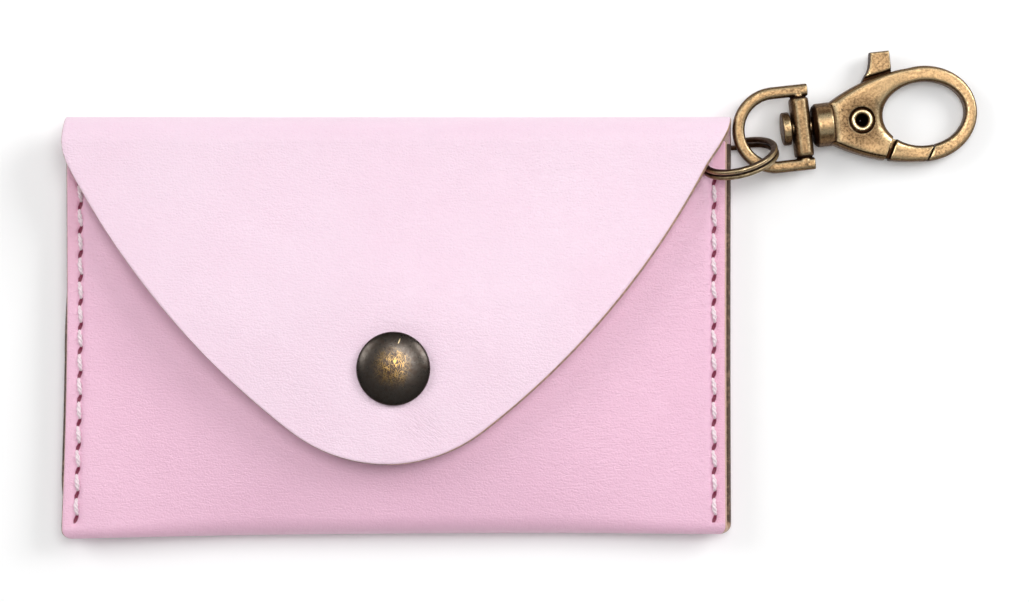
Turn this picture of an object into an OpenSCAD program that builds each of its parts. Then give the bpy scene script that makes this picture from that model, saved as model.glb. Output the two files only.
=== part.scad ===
// Leather pick holder: a folded, side-stitched pouch with an envelope flap, a press snap,
// and a swivel clasp that hangs from a split ring at the top right corner.
// The pouch lies on its back: +X to the right, +Y to the top fold, +Z out of the front.

/* [Leather] */
// Thickness of the leather
leather_t = 1.4; // [1.2:0.1:1.6]
// Width of the leather strip
strip_w = 99.8; // [96:0.2:104]
// Height of the closed pouch, from bottom fold to top fold
pouch_h = 63; // [60:0.5:66]
// Height of the stitched side seams above the table
seam_lift = 2.5; // [2.3:0.1:2.8]
// Gap between the two layers in the side seams
ply_gap = 0.15; // [0.1:0.05:0.3]
// How much narrower than the back the front panel is, on each side
edge_step = 0.3; // [0:0.1:0.8]
// How far the side edges are drawn in at half height
side_draw = 0.1; // [0:0.1:1]
// How far the bottom fold is drawn in at half width
bottom_draw = 0.4; // [0:0.1:1.5]
// Height of the front panel's outer face at the snap
belly_h = 7.9; // [7.6:0.1:8.4]
// How much lower the front panel is at the pocket's mouth
mouth_fall = 0.5; // [0.2:0.1:0.8]
// How much lower the front panel is at the bottom fold
bottom_fall = 1.3; // [0.8:0.1:1.6]
// Radius of the front panel's top corners
mouth_r = 3; // [1:0.5:5]

/* [Flap] */
// Height of the flap's outer face where it leaves the top fold
root_top = 9.9; // [9.8:0.1:10.4]
// Depth of the top fold, from its apex to where the flap begins
fold_run = 4; // [3.6:0.1:4.5]
// Radius of the flap's top corners
corner_r = 13.2; // [10:0.2:18]
// Slope of the flap's edge where its corner ends
corner_a = 27; // [22:1:32]
// Radius of the flap's long side curves
flank_r = 121.6; // [112:0.2:126]
// Slope of the flap's edge where its tip begins
flank_a = 52.4; // [50:0.2:55]
// How far the flap sits off the pouch's centre line
flap_skew = -1.4; // [-2:0.1:0]
// How far the flap's sides bend down from its middle
flap_sag = 0.7; // [0:0.1:1]

/* [Stitching] */
// Distance of the stitch line from the back panel's side edges
seam_in = 2; // [1.8:0.1:2.4]
// Number of stitches in each seam
stitches = 14; // [10:1:16]
// Distance of the lowest stitch hole from the bottom fold
stitch_start = 2.7; // [2:0.1:3]
// Distance of the highest stitch hole from the top fold
stitch_stop = 9.7; // [9.6:0.1:14]
// Radius of the sewing thread
thread_r = 0.25; // [0.15:0.05:0.25]
// Radius of a stitch hole
stitch_hole_r = 0.6; // [0.6:0.05:0.7]

/* [Snap] */
// Snap's distance to the right of the pouch's centre line
snap_x = -0.5; // [-3:0.5:3]
// Snap's distance below the top fold
snap_drop = 37.65; // [36:0.05:40]
// Radius of the snap's cap
cap_r = 5.5; // [5:0.1:6]
// Height of the cap's dome
cap_h = 1.8; // [1.4:0.1:2.2]
// Radius of the socket under the flap
socket_r = 5; // [4.6:0.1:5.2]
// Radius of the stud's round head
bulb_r = 2.55; // [2.3:0.05:2.7]
// Height of the stud above its flange
stud_h = 1.8; // [1.6:0.1:1.9]
// Radius of the stud's and the post's flanges
flange_r = 4.2; // [3.8:0.1:4.6]
// Thickness of pressed sheet metal
sheet_t = 0.5; // [0.4:0.05:0.6]

/* [Split ring] */
// Radius to the middle of the ring's wire
ring_r = 5.4; // [5:0.1:5.6]
// Width of the ring's wire, across the ring
ring_wire_w = 1; // [0.8:0.1:1.1]
// Thickness of the ring's wire, along the ring's axis
ring_wire_t = 0.6; // [0.5:0.05:0.6]
// Gap between the ring's two turns
ring_gap = 0.45; // [0.42:0.01:0.5]
// Distance of the ring's hole from the right edge
ring_hole_in = 3.6; // [3.4:0.1:4]
// Distance of the ring's hole from the top fold
ring_hole_down = 6.75; // [6.5:0.05:7]
// Radius of the ring's hole in the leather
ring_hole_r = 1.75; // [1.7:0.05:1.85]

/* [Swivel loop] */
// Width of the loop
loop_w = 12.9; // [12:0.1:14]
// Width of the loop's bar
loop_bar_w = 1.75; // [1.5:0.05:1.9]
// Thickness of the loop's bar
loop_bar_t = 2.2; // [1.8:0.1:2.3]
// Distance of the loop's round end from the gate's rivet
loop_reach = 19.4; // [19.2:0.1:20.5]
// Gap between the pouch's edge and the loop
loop_gap = 0.4; // [0.35:0.05:1]
// Width of the loop's crossbar, along the swivel's axis
cross_w = 2.9; // [2.5:0.1:3]
// Thickness of the loop's crossbar
cross_t = 4.4; // [4:0.1:4.6]
// Radius of the swivel's stem
stem_r = 1.3; // [1.1:0.05:1.5]
// Radial clearance of the stem in the crossbar
stem_fit = 0.08; // [0.04:0.01:0.1]
// Clearance of the crossbar along the stem
stem_play = 0.25; // [0.2:0.05:0.3]
// Radius of the stem's head
head_r = 2.5; // [2.2:0.1:2.6]
// Thickness of the stem's head
head_t = 1.25; // [1:0.05:1.3]

/* [Clasp] */
// Angle of the clasp's axis to the pouch's top edge
clasp_turn = 6.5; // [4:0.5:8]
// Angle by which the clasp leans down to the table
clasp_tilt = 4.2; // [4:0.1:4.6]
// Distance of the gate's rivet above the ring's centre, along the pouch's side
clasp_up = 5.75; // [5.4:0.05:6.2]
// Radius of the collar behind the clasp's body
collar_r = 3.3; // [3:0.1:3.4]
// Length of the collar
collar_l = 2.6; // [2.4:0.1:2.8]
// Half width of the clasp's body at the collar
neck_w = 3.1; // [2.8:0.1:3.2]
// Distance of the eye's centre from the rivet
eye_x = 9.6; // [9.4:0.1:10]
// Half length of the eye
eye_a = 6.25; // [6:0.05:6.4]
// Half width of the eye
eye_b = 4.8; // [4.6:0.1:5]
// Width of the rim at the eye's end
rim_end = 1.85; // [1.7:0.05:2]
// Width of the rim at the eye's sides
rim_side = 2.4; // [2.2:0.1:2.6]
// Half thickness of the clasp's body at the rivet
body_half_t = 2.3; // [2.1:0.1:2.4]
// Half thickness of the rim round the eye
rim_half_t = 1.6; // [1.5:0.05:1.7]
// Radius of the rivet's shank
rivet_r = 1.35; // [1.3:0.05:1.45]
// Radius of the rivet's bore
rivet_bore_r = 0.95; // [0.85:0.05:1]
// Radial clearance of the gate lever on the rivet
rivet_fit = 0.05; // [0.03:0.01:0.1]
// Thickness of the gate lever's plate
lever_t = 1.7; // [1.5:0.1:1.8]
// Clearance on each side of the lever in its slot
lever_play = 0.12; // [0.1:0.02:0.2]
// Distance of the gate's free end from the rivet
gate_reach = 11.35; // [11.2:0.05:11.5]
// Gap at the gate's free end
gate_gap = 0.45; // [0.3:0.05:0.55]
// Gap between the clasp's body and the gate, where the lever's plate shows
gate_neck_gap = 0.85; // [0.6:0.05:0.9]
// Height of the thumb's top above the rivet
thumb_h = 10; // [9.6:0.1:10.4]
// Thickness of the thumb's pad
thumb_t = 2.6; // [2.2:0.1:3]

/* [Hidden] */
$fn = 64;

pink = [0.95, 0.80, 0.88];
thread_white = [0.96, 0.90, 0.92];
bronze = [0.48, 0.37, 0.22];
steel = [0.60, 0.58, 0.54];

half_w = strip_w / 2;
top_y = pouch_h / 2;
fold_y = top_y - fold_run;
station_steps = 28;
stations = [for (i = [0:station_steps]) sin(-90 + 180 * i / station_steps)];

function smooth(t) = let (c = max(0, min(1, t))) c * c * (3 - 2 * c);
function mix(a, b, t) = a + (b - a) * t;
function reverse(list) = [for (i = [len(list) - 1:-1:0]) list[i]];

// Pouch: the back rises from a flat middle to the seams, the front bulges between them.
flat_half = 20;
crown_half = 8;
seam_flat_in = 3.4;
// The flat patch under the snap is wider than its metal by one step of the leather's grid.
patch_r = cap_r + 5;
patch_blend = 9;
snap_y = top_y - snap_drop;
seam_top = seam_lift + 2 * leather_t + ply_gap;
bottom_run = 3.2;
corner_run = 1.9;
// The back's middle is cut flat on the table plane, this much above its lowest point.
rest_cut = 0.05;

function seam_rise(u, from) = smooth((abs(u) * half_w - from) / (half_w - seam_flat_in - from));
function back_z(u) = mix(-rest_cut, seam_lift, seam_rise(u, flat_half));
function belly_z(y) = y > snap_y
    ? belly_h - mouth_fall * pow((y - snap_y) / (fold_y - snap_y), 2)
    : belly_h - bottom_fall * pow((snap_y - y) / (snap_y + top_y - bottom_run), 2);
function front_raw_z(u, y) = mix(belly_z(y), seam_top, seam_rise(u, crown_half));
function patch_mix(u, y) = smooth((norm([u * half_w - snap_x, y - snap_y]) - patch_r) / patch_blend);
function front_z(u, y) = mix(belly_h, front_raw_z(u, y), patch_mix(u, y));

function strip_x(u, y, front) =
    u * (half_w - front * edge_step - side_draw * (1 - pow(y / top_y, 2)));
function fold_depth(u) = mix(bottom_run, corner_run, seam_rise(u, flat_half));
function bend_y(u) = -top_y + fold_depth(u) + bottom_draw * (1 - u * u);
function mouth_y(u) =
    let (over = abs(u) * half_w - (half_w - mouth_r))
    over > 0 ? fold_y - mouth_r + sqrt(mouth_r * mouth_r - over * over) : fold_y;

back_steps = 4;
bend_steps = 8;
front_steps = 8;

// One face of the folded strip at station u, from the back's top round to the mouth;
// depth is 0 for the outer face and the leather's thickness for the inner one.
function strip_path(u, depth) =
    let (
        yb = bend_y(u),
        ym = mouth_y(u),
        zf = front_z(u, yb),
        zc = (zf + back_z(u)) / 2,
        rz = (zf - back_z(u)) / 2 - depth,
        ry = fold_depth(u) - depth
    )
    concat(
        [for (i = [0:back_steps - 1])
            let (y = mix(fold_y, yb, i / back_steps))
            [strip_x(u, y, 0), y, back_z(u) + depth]],
        [for (i = [0:bend_steps])
            let (a = -90 + 180 * i / bend_steps, y = yb - ry * cos(a))
            [strip_x(u, y, (1 + sin(a)) / 2), y, zc + rz * sin(a)]],
        [for (i = [1:front_steps])
            let (y = mix(yb, ym, i / front_steps))
            [strip_x(u, y, 1), y, front_z(u, y) - depth]]
    );

// Triangles of a skin over rings of n points each, and of the ladder that closes an end ring.
function skin_faces(rings, n, wrap) =
    [for (i = [0:rings - (wrap ? 1 : 2)], k = [0:n - 1])
        let (j = (i + 1) % rings, m = (k + 1) % n)
        each [[i * n + k, j * n + k, j * n + m], [i * n + k, j * n + m, i * n + m]]];
function ladder_faces(first, n, flip) =
    [for (k = [0:n / 2 - 2])
        let (a = first + k, b = first + k + 1, c = first + n - 2 - k, d = first + n - 1 - k)
        each (flip ? [[a, c, b], [a, d, c]] : [[a, b, c], [a, c, d]])];

module skin(rings) {
    n = len(rings[0]);
    last = (len(rings) - 1) * n;
    polyhedron(
        [for (r = rings) each r],
        concat(skin_faces(len(rings), n, false), ladder_faces(0, n, false), ladder_faces(last, n, true))
    );
}

// Stitch line
stitch_u = (half_w - seam_in) / half_w;
stitch_pitch = (pouch_h - stitch_start - stitch_stop) / stitches;
stitch_ys = [for (i = [0:stitches]) -top_y + stitch_start + i * stitch_pitch];
function stitch_x(side, y) = strip_x(side * stitch_u, y, 1);

// Split ring: it stands nearly upright through its hole, leaning towards the pouch's bottom.
ring_u = [0.9625, 0.2713, 0];
ring_lean = 24;
ring_side = [0.2713, -0.9625, 0];
ring_v = sin(ring_lean) * ring_side + cos(ring_lean) * [0, 0, 1];
ring_n = cross(ring_u, ring_v);
ring_hole_a = 203;
ring_hole = [half_w - ring_hole_in, top_y - ring_hole_down, (seam_lift + seam_top) / 2];
function ring_dir(a) = cos(a) * ring_u + sin(a) * ring_v;
ring_centre = ring_hole - ring_r * ring_dir(ring_hole_a);
// The leather gives way along the wire, so its hole follows the ring there.
ring_way = ring_dir(ring_hole_a + 90);
ring_hole_l = 3 * (seam_top - seam_lift);

module pocket() {
    color(pink)
    difference() {
        skin([for (u = stations) concat(strip_path(u, leather_t), reverse(strip_path(u, 0)))]);
        translate([-strip_w, -pouch_h, -1])
            cube([2 * strip_w, 2 * pouch_h, 1]);
        for (side = [-1, 1], y = stitch_ys)
            translate([stitch_x(side, y), y, seam_lift - 1])
                cylinder(r = stitch_hole_r, h = seam_top - seam_lift + 2, $fn = 16);
        translate(ring_hole)
            rotate(acos(ring_way.z), cross([0, 0, 1], ring_way))
                cylinder(r = ring_hole_r, h = ring_hole_l, center = true);
        translate([snap_x, snap_y, belly_h - leather_t - 1])
            cylinder(r = post_r + rivet_slip, h = leather_t + 2);
    }
}

// Flap outline: a corner arc, a long flank arc and a tip arc, each tangent to the next.
flank_start = [half_w - corner_r * (1 - cos(corner_a)), top_y - corner_r * sin(corner_a)];
tip_start = flank_start
    - flank_r * [cos(corner_a) - cos(flank_a), sin(flank_a) - sin(corner_a)];
tip_r = tip_start.x / cos(flank_a);
tip_end_a = 89;
skew_run = 7.5;
root_a = asin(fold_run / corner_r);
corner_rows = 2;
flank_rows = 10;
tip_rows = 7;
flap_angles = concat(
    [for (i = [0:corner_rows - 1]) mix(root_a, corner_a, i / corner_rows)],
    [for (i = [0:flank_rows - 1]) mix(corner_a, flank_a, i / flank_rows)],
    [for (i = [0:tip_rows]) mix(flank_a, tip_end_a, i / tip_rows)]
);
function flap_edge(a) =
    a <= corner_a
    ? [half_w - corner_r * (1 - cos(a)), top_y - corner_r * sin(a)]
    : a <= flank_a
    ? flank_start - flank_r * [cos(corner_a) - cos(a), sin(a) - sin(corner_a)]
    : tip_start - tip_r * [cos(flank_a) - cos(a), sin(a) - sin(flank_a)];
function flap_mid(y) = flap_skew * smooth((top_y - y) / skew_run);

// Snap stack, from the post inside the pocket up to the cap on the flap.
rivet_slip = 0.03;
post_r = 1.1;
peg_r = 1.5;
snap_air = 0.2;
peen_t = 0.25;
peen_r = 2.1;
stud_seat = belly_h;
stud_top = stud_seat + sheet_t + stud_h;
socket_low = stud_seat + sheet_t + snap_air;
socket_roof = stud_top + snap_air + peen_t;
socket_top = socket_roof + sheet_t;
cap_seat = socket_top + leather_t;

function flap_raw_z(x, y) =
    let (s = max(0, min(1, (fold_y - y) / (fold_y - snap_y))))
    mix(root_top, cap_seat, (1 - cos(180 * s)) / 2) - flap_sag * smooth(2 * s) * pow(x / half_w, 2);
function flap_z(x, y) =
    mix(cap_seat, flap_raw_z(x, y), smooth((norm([x - snap_x, y - snap_y]) - patch_r) / patch_blend));
function flap_ring(a) =
    let (
        e = flap_edge(a),
        row = [for (u = stations) [u * e.x + flap_mid(e.y), e.y]]
    )
    concat(
        [for (p = row) [p.x, p.y, flap_z(p.x, p.y) - leather_t]],
        [for (p = reverse(row)) [p.x, p.y, flap_z(p.x, p.y)]]
    );

module flap() {
    color(pink)
    difference() {
        skin([for (a = flap_angles) flap_ring(a)]);
        translate([snap_x, snap_y, socket_top - 1])
            cylinder(r = peg_r + rivet_slip, h = leather_t + 2);
    }
}

// Top fold: half an ellipse from the back panel over to the flap.
fold_steps = 8;
function corner_x(u, y) =
    u * (half_w - corner_r * (1 - cos(asin((top_y - y) / corner_r)))) + flap_mid(y);
function fold_path(u, depth) =
    let (
        zc = (root_top + back_z(u)) / 2,
        rz = (root_top - back_z(u)) / 2 - depth,
        ry = fold_run - depth
    )
    [for (i = [0:fold_steps])
        let (a = -90 + 180 * i / fold_steps, y = fold_y + ry * cos(a))
        [mix(strip_x(u, y, 0), corner_x(u, y), (1 + sin(a)) / 2), y, zc + rz * sin(a)]];

module flap_fold() {
    color(pink)
    difference() {
        skin([for (u = stations) concat(fold_path(u, 0), reverse(fold_path(u, leather_t)))]);
        translate([-strip_w, -pouch_h, -1])
            cube([2 * strip_w, 2 * pouch_h, 1]);
    }
}

// Seam threads: each runs from hole to hole on one face and dips into every hole.
thread_sides = 6;
thread_lift = 0.02;
dip = 0.75 * stitch_hole_r;
dip_shoulder = 0.6 * stitch_hole_r;
function thread_z(y_from_hole) =
    y_from_hole == 0 ? -dip : thread_r + thread_lift;
function thread_points(side, face_z, out) =
    [for (i = [0:stitches], step = [-dip_shoulder, 0, dip_shoulder, stitch_pitch / 2])
        if (!(i == 0 && step < 0) && !(i == stitches && step > 0))
            let (y = stitch_ys[i] + step)
            [stitch_x(side, y), y, face_z + out * thread_z(step)]];
function tangent(path, i) =
    let (d = path[min(i + 1, len(path) - 1)] - path[max(i - 1, 0)]) d / norm(d);
function thread_ring(path, i) =
    let (t = tangent(path, i), across = [1, 0, 0], up = cross(t, across))
    [for (k = [0:thread_sides - 1])
        let (a = 360 * k / thread_sides)
        path[i] + thread_r * (cos(a) * across + sin(a) * up)];

module seam_thread(side, face_z, out) {
    path = thread_points(side, face_z, out);
    color(thread_white)
    skin([for (i = [0:len(path) - 1]) thread_ring(path, i)]);
}
module left_needle_thread() { seam_thread(-1, seam_top, 1); }
module left_bobbin_thread() { seam_thread(-1, seam_lift, -1); }
module right_needle_thread() { seam_thread(1, seam_top, 1); }
module right_bobbin_thread() { seam_thread(1, seam_lift, -1); }

// Snap
module at_snap(z) { translate([snap_x, snap_y, z]) children(); }

dome_steps = 10;
rim_h = 0.6;
rim_bevel = 0.25;
dome_points = concat(
    [[0, 0], [cap_r - rim_bevel, 0], [cap_r, rim_bevel]],
    [for (i = [0:dome_steps])
        let (a = 90 * i / dome_steps)
        [cap_r * cos(a), rim_h + (cap_h - rim_h) * sin(a)]]
);
module snap_cap() {
    color(bronze)
    at_snap(cap_seat) {
        rotate_extrude()
            polygon(dome_points);
        translate([0, 0, -leather_t - sheet_t])
            cylinder(r = peg_r, h = leather_t + sheet_t);
        translate([0, 0, -leather_t - sheet_t - peen_t])
            cylinder(r = peen_r, h = peen_t);
    }
}

// The socket's bore clears the stud's round head; the spring sits in a groove in the bore.
bore_clear = 0.4;
socket_bore_r = bulb_r + bore_clear;
spring_wire_r = 0.25;
groove_lip = 0.25;
groove_play = 0.05;
spring_grip = 0.3;
spring_r = bulb_r - spring_grip + spring_wire_r;
spring_z = socket_low + groove_lip + groove_play + spring_wire_r;
groove_r = spring_r + spring_wire_r + 2 * groove_play;
socket_t = socket_top - socket_low;
socket_brim = 0.8;
socket_round = 0.4;
brim_bevel = 0.1;
mouth_t = 0.3;
mouth_w = 0.6;
module snap_socket() {
    color(bronze)
    at_snap(0)
    difference() {
        translate([0, 0, socket_low])
            rotate_extrude()
                polygon([[0, mouth_t], [socket_bore_r + mouth_w, 0],
                         [socket_r - socket_brim - socket_round, 0],
                         [socket_r - socket_brim, socket_round],
                         [socket_r - socket_brim, socket_t - sheet_t],
                         [socket_r, socket_t - sheet_t + brim_bevel],
                         [socket_r, socket_t], [0, socket_t]]);
        translate([0, 0, socket_low - 1])
            cylinder(r = socket_bore_r, h = socket_roof - socket_low + 1);
        translate([0, 0, socket_low + groove_lip])
            cylinder(r = groove_r, h = 2 * (spring_wire_r + groove_play));
        translate([0, 0, socket_roof - 1])
            cylinder(r = peg_r + rivet_slip, h = sheet_t + 2);
    }
}

spring_open_a = 40;
module snap_spring() {
    color(steel)
    at_snap(spring_z)
    rotate([0, 0, spring_open_a / 2])
        rotate_extrude(angle = 360 - spring_open_a)
            translate([spring_r, 0])
                circle(r = spring_wire_r, $fn = 24);
}

stud_neck_r = bulb_r - 0.55;
stud_round = 0.15;
stud_slope = 0.3;
stud_crown = 0.6;
post_short = 0.1;
module snap_stud() {
    color(bronze)
    at_snap(stud_seat)
    difference() {
        rotate_extrude()
            polygon([[0, 0], [flange_r - stud_round, 0], [flange_r, stud_round],
                     [flange_r - stud_slope, sheet_t],
                     [stud_neck_r, sheet_t], [stud_neck_r, sheet_t + 0.55 * stud_h],
                     [bulb_r, sheet_t + 0.8 * stud_h], [bulb_r - stud_round, sheet_t + 0.92 * stud_h],
                     [bulb_r - stud_crown, sheet_t + stud_h], [0, sheet_t + stud_h]]);
        translate([0, 0, -1])
            cylinder(r = post_r + rivet_slip, h = sheet_t + stud_h + 2);
    }
}

module snap_post() {
    color(bronze)
    at_snap(stud_seat) {
        translate([0, 0, -leather_t - sheet_t])
            cylinder(r = flange_r, h = sheet_t);
        translate([0, 0, -leather_t])
            cylinder(r = post_r, h = leather_t + sheet_t + stud_h - post_short);
    }
}

// Split ring: two flat turns of one wire, with a short jog between them.
turn_rings = 32;
ring_cut = 2 / turn_rings;
jog_half = 0.06;
ring_sides = [[-1, -0.6], [-1, 0.6], [-0.7, 1], [0.7, 1], [1, 0.6], [1, -0.6], [0.7, -1], [-0.7, -1]];
ring_shift = ring_wire_t + ring_gap;
ring_total = round(2 * turn_rings * (1 - ring_cut));
function ring_turn(i) = ring_cut + (2 - 2 * ring_cut) * i / ring_total;
function ring_axial(t) = ring_shift * (smooth((t - 1 + jog_half) / (2 * jog_half)) - 0.5);
// The cut between the wire's ends lies low on the ring, under the pouch's edge.
ring_cut_a = 255;
function ring_point(t, p) =
    let (a = ring_cut_a + 360 * t)
    ring_centre + (ring_r + p.x * ring_wire_w / 2) * ring_dir(a)
        + (ring_axial(t) + p.y * ring_wire_t / 2) * ring_n;
ring_skin = [for (i = [0:ring_total]) [for (p = ring_sides) ring_point(ring_turn(i), p)]];
// Least gap between the turns, measured on the skin's own points.
ring_self_gap = min([
    for (i = [0:ring_total - 8], j = [i + 8:ring_total], a = ring_skin[i], b = ring_skin[j]) norm(a - b)
]);

module split_ring() {
    echo(ring_self_gap = ring_self_gap);
    color(bronze)
    skin(ring_skin);
}

// Clasp frame: origin on the rivet, X along the swivel's axis to the eye's end, Z through the rivet.
collar_back = 4.7;
clasp_rest = 0.05;
clasp_origin = [
    half_w + loop_gap + loop_reach * cos(clasp_turn) * cos(clasp_tilt),
    ring_centre.y + clasp_up,
    clasp_rest + collar_r * cos(clasp_tilt) - collar_back * sin(clasp_tilt)
];
module in_clasp() {
    translate(clasp_origin)
        rotate([0, 0, clasp_turn])
            rotate([0, clasp_tilt, 0])
                children();
}

collar_end = collar_back + collar_l;
cross_near = collar_end + stem_play;
cross_far = cross_near + cross_w;
head_near = cross_far + stem_play;
loop_mid_r = (loop_w - loop_bar_w) / 2;
loop_bend_x = -loop_reach + loop_w / 2;
bar_bevel = 0.45;
cross_bevel = 0.8;

module bevel_rect(w, h, b) {
    polygon([[-w / 2 + b, -h / 2], [w / 2 - b, -h / 2], [w / 2, -h / 2 + b], [w / 2, h / 2 - b],
             [w / 2 - b, h / 2], [-w / 2 + b, h / 2], [-w / 2, h / 2 - b], [-w / 2, -h / 2 + b]]);
}

module swivel_loop() {
    color(bronze)
    in_clasp()
    difference() {
        union() {
            translate([loop_bend_x, 0, 0])
                rotate([0, 0, 90])
                    rotate_extrude(angle = 180)
                        translate([loop_mid_r, 0])
                            bevel_rect(loop_bar_w, loop_bar_t, bar_bevel);
            for (side = [-1, 1])
                translate([loop_bend_x, side * loop_mid_r, 0])
                    rotate([90, 0, 90])
                        linear_extrude(-cross_near - loop_bend_x)
                            bevel_rect(loop_bar_w, loop_bar_t, bar_bevel);
            translate([-cross_near - cross_w / 2, loop_mid_r, 0])
                rotate([90, 0, 0])
                    linear_extrude(2 * loop_mid_r)
                        bevel_rect(cross_w, cross_t, cross_bevel);
        }
        translate([-cross_far - 1, 0, 0])
            rotate([0, 90, 0])
                cylinder(r = stem_r + stem_fit, h = cross_w + 2);
    }
}

// Clasp outline: half an ellipse round the eye, then a curve that narrows to the collar.
out_a = eye_a + rim_end;
out_b = eye_b + rim_side;
shoulder_a = 101;
shoulder = [eye_x + out_a * cos(shoulder_a), out_b * sin(shoulder_a)];
neck = [-collar_back, neck_w];
neck_pull = [1.35, shoulder.y - 0.3];
arc_steps = 10;
neck_steps = 7;
half_outline = concat(
    [for (i = [0:arc_steps])
        let (a = shoulder_a * i / arc_steps)
        [eye_x + out_a * cos(a), out_b * sin(a)]],
    [for (i = [1:neck_steps])
        let (t = i / neck_steps)
        (1 - t) * (1 - t) * shoulder + 2 * t * (1 - t) * neck_pull + t * t * neck]
);
clasp_outline = concat(
    half_outline,
    [[-collar_back, 0]],
    [for (p = reverse(half_outline)) if (p.y > 0.001) [p.x, -p.y]]
);
section_steps = 12;
section_flatness = 0.4;
thin_from = 1;
thin_run = 7;
function half_t(x) = mix(body_half_t, rim_half_t, smooth((x - thin_from) / thin_run));
function eye_point(p) =
    let (a = atan2(p.y, p.x - eye_x), r = 1 / norm([cos(a) / eye_a, sin(a) / eye_b]))
    [eye_x + r * cos(a), r * sin(a)];
function squash(v) = sign(v) * pow(abs(v), section_flatness);
function clasp_section(p) =
    let (q = eye_point(p))
    [for (k = [0:section_steps - 1])
        let (a = 360 * (k + 0.5) / section_steps, s = (1 - squash(cos(a))) / 2, x = mix(q.x, p.x, s))
        [x, mix(q.y, p.y, s), half_t(x) * squash(sin(a))]];

module clasp_rim() {
    rings = [for (p = clasp_outline) clasp_section(p)];
    polyhedron([for (r = rings) each r], skin_faces(len(rings), section_steps, true));
}

// Gate window: the stretch of the rim that the gate stands in for.
window_line_a = 62.5;
window_foot = [3.55, -4.85];
window_dir = [cos(window_line_a), sin(window_line_a)];
window_low_a = -52;
window_high_a = -18;
window_up = 2.4;
window_down = 3.4;
window_steps = 8;
// No gaps give the window, and the gate's own gaps give the gate.
function window_outline(neck_gap, nose_gap) =
    let (side = neck_gap * [sin(window_line_a), -cos(window_line_a)])
    concat(
        [window_foot + side + window_up * window_dir, window_foot + side - window_down * window_dir],
        [for (i = [0:window_steps])
            let (a = mix(window_low_a, window_high_a, i / window_steps))
            (gate_reach + gate_gap - nose_gap) * [cos(a), sin(a)]]
    );

// Slot in the body: round the hub, up along the thumb's swing, down along the arm's swing into the
// eye, and round the leaf spring.
hub_r = 3;
hub_play = 0.3;
slot_half = lever_t / 2 + lever_play;
leaf_t = 0.3;
leaf_r = hub_r + hub_play + 0.4;
leaf_from = 130;
leaf_to = 235;
leaf_room = 0.3;
leaf_turn = 20;
thumb_swing = [[0, 0], [2.9, 0.95], [5.75, 6.25], [5.75, thumb_h + 4], [-5.7, thumb_h + 2.8]];
arm_swing = [[0, 0], [-0.62, -3.1], [3, -5.7], [5.5, -5], [8, -1], [8, 1.2], [3.9, 1.2]];
flare_r = rivet_r + 0.25;
flare_t = 0.3;
recess_r = flare_r + 0.35;
recess_in = 0.05;
rivet_half = body_half_t - recess_in;
// Half height of the cuts that go right through the clasp
through = 5;

function sector(r, from, to) =
    concat([[0, 0]], [for (i = [0:8]) let (a = mix(from, to, i / 8)) r * [cos(a), sin(a)]]);
module slot_outline() {
    circle(r = hub_r + hub_play);
    polygon(thumb_swing);
    polygon(arm_swing);
    polygon(sector(leaf_r + leaf_t + leaf_room, leaf_from - leaf_turn, leaf_to + leaf_turn));
}
module plate(t) {
    translate([0, 0, -t / 2])
        linear_extrude(t)
            children();
}

collar_sink = 0.4;
stem_sink = 0.1;
module clasp_body() {
    color(bronze)
    in_clasp()
    difference() {
        union() {
            clasp_rim();
            rotate([0, -90, 0]) {
                translate([0, 0, collar_back - collar_sink])
                    cylinder(r = collar_r, h = collar_l + collar_sink);
                translate([0, 0, collar_end - stem_sink])
                    cylinder(r = stem_r, h = head_near - collar_end + 2 * stem_sink);
                translate([0, 0, head_near])
                    cylinder(r = head_r, h = head_t);
            }
        }
        plate(2 * through)
            polygon(window_outline(0, 0));
        plate(2 * slot_half)
            slot_outline();
        plate(2 * through)
            circle(r = rivet_r + rivet_slip);
        for (side = [0, 1])
            mirror([0, 0, side])
                translate([0, 0, rivet_half - flare_t])
                    cylinder(r = recess_r, h = through);
    }
}

// Gate lever: hub, arm, thumb plate and pad, and the gate cut from the rim's own shape.
arm_outline = [[2.1, -1.9], [5.6, -3.8], [4.7, -6.2], [-0.4, -2.8]];
thumb_left = 2.5;
thumb_right = 5.4;
thumb_outline = [[-0.5, 2.4], [0.25, 4.6], [0.8, 5.8], [1.7, 7], [2.25, 8.3],
                 [thumb_left, thumb_h], [thumb_right, thumb_h], [thumb_right, 6.4], [2.5, 1.3]];
pad_low = 7.6;
pad_outline = [[2, pad_low], [2.25, 8.3],
               [thumb_left, thumb_h], [thumb_right, thumb_h], [thumb_right, pad_low]];
module gate_lever() {
    color(bronze)
    in_clasp()
    difference() {
        union() {
            plate(lever_t) {
                circle(r = hub_r);
                polygon(arm_outline);
                polygon(thumb_outline);
            }
            plate(thumb_t)
                polygon(pad_outline);
            intersection() {
                clasp_rim();
                plate(2 * through)
                    polygon(window_outline(gate_neck_gap, gate_gap));
            }
        }
        plate(2 * through)
            circle(r = rivet_r + rivet_fit);
    }
}

module gate_rivet() {
    color(bronze)
    in_clasp()
    difference() {
        union() {
            plate(2 * rivet_half)
                circle(r = rivet_r);
            for (side = [0, 1])
                mirror([0, 0, side])
                    translate([0, 0, rivet_half - flare_t])
                        cylinder(r = flare_r, h = flare_t);
        }
        plate(2 * through)
            circle(r = rivet_bore_r);
    }
}

leaf_half = 0.6;
module gate_spring() {
    color(steel)
    in_clasp()
    rotate([0, 0, leaf_from])
        rotate_extrude(angle = leaf_to - leaf_from)
            translate([leaf_r, -leaf_half])
                square([leaf_t, 2 * leaf_half]);
}

pocket();
flap_fold();
flap();
left_needle_thread();
left_bobbin_thread();
right_needle_thread();
right_bobbin_thread();
snap_cap();
snap_socket();
snap_spring();
snap_stud();
snap_post();
split_ring();
swivel_loop();
clasp_body();
gate_lever();
gate_rivet();
gate_spring();
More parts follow.
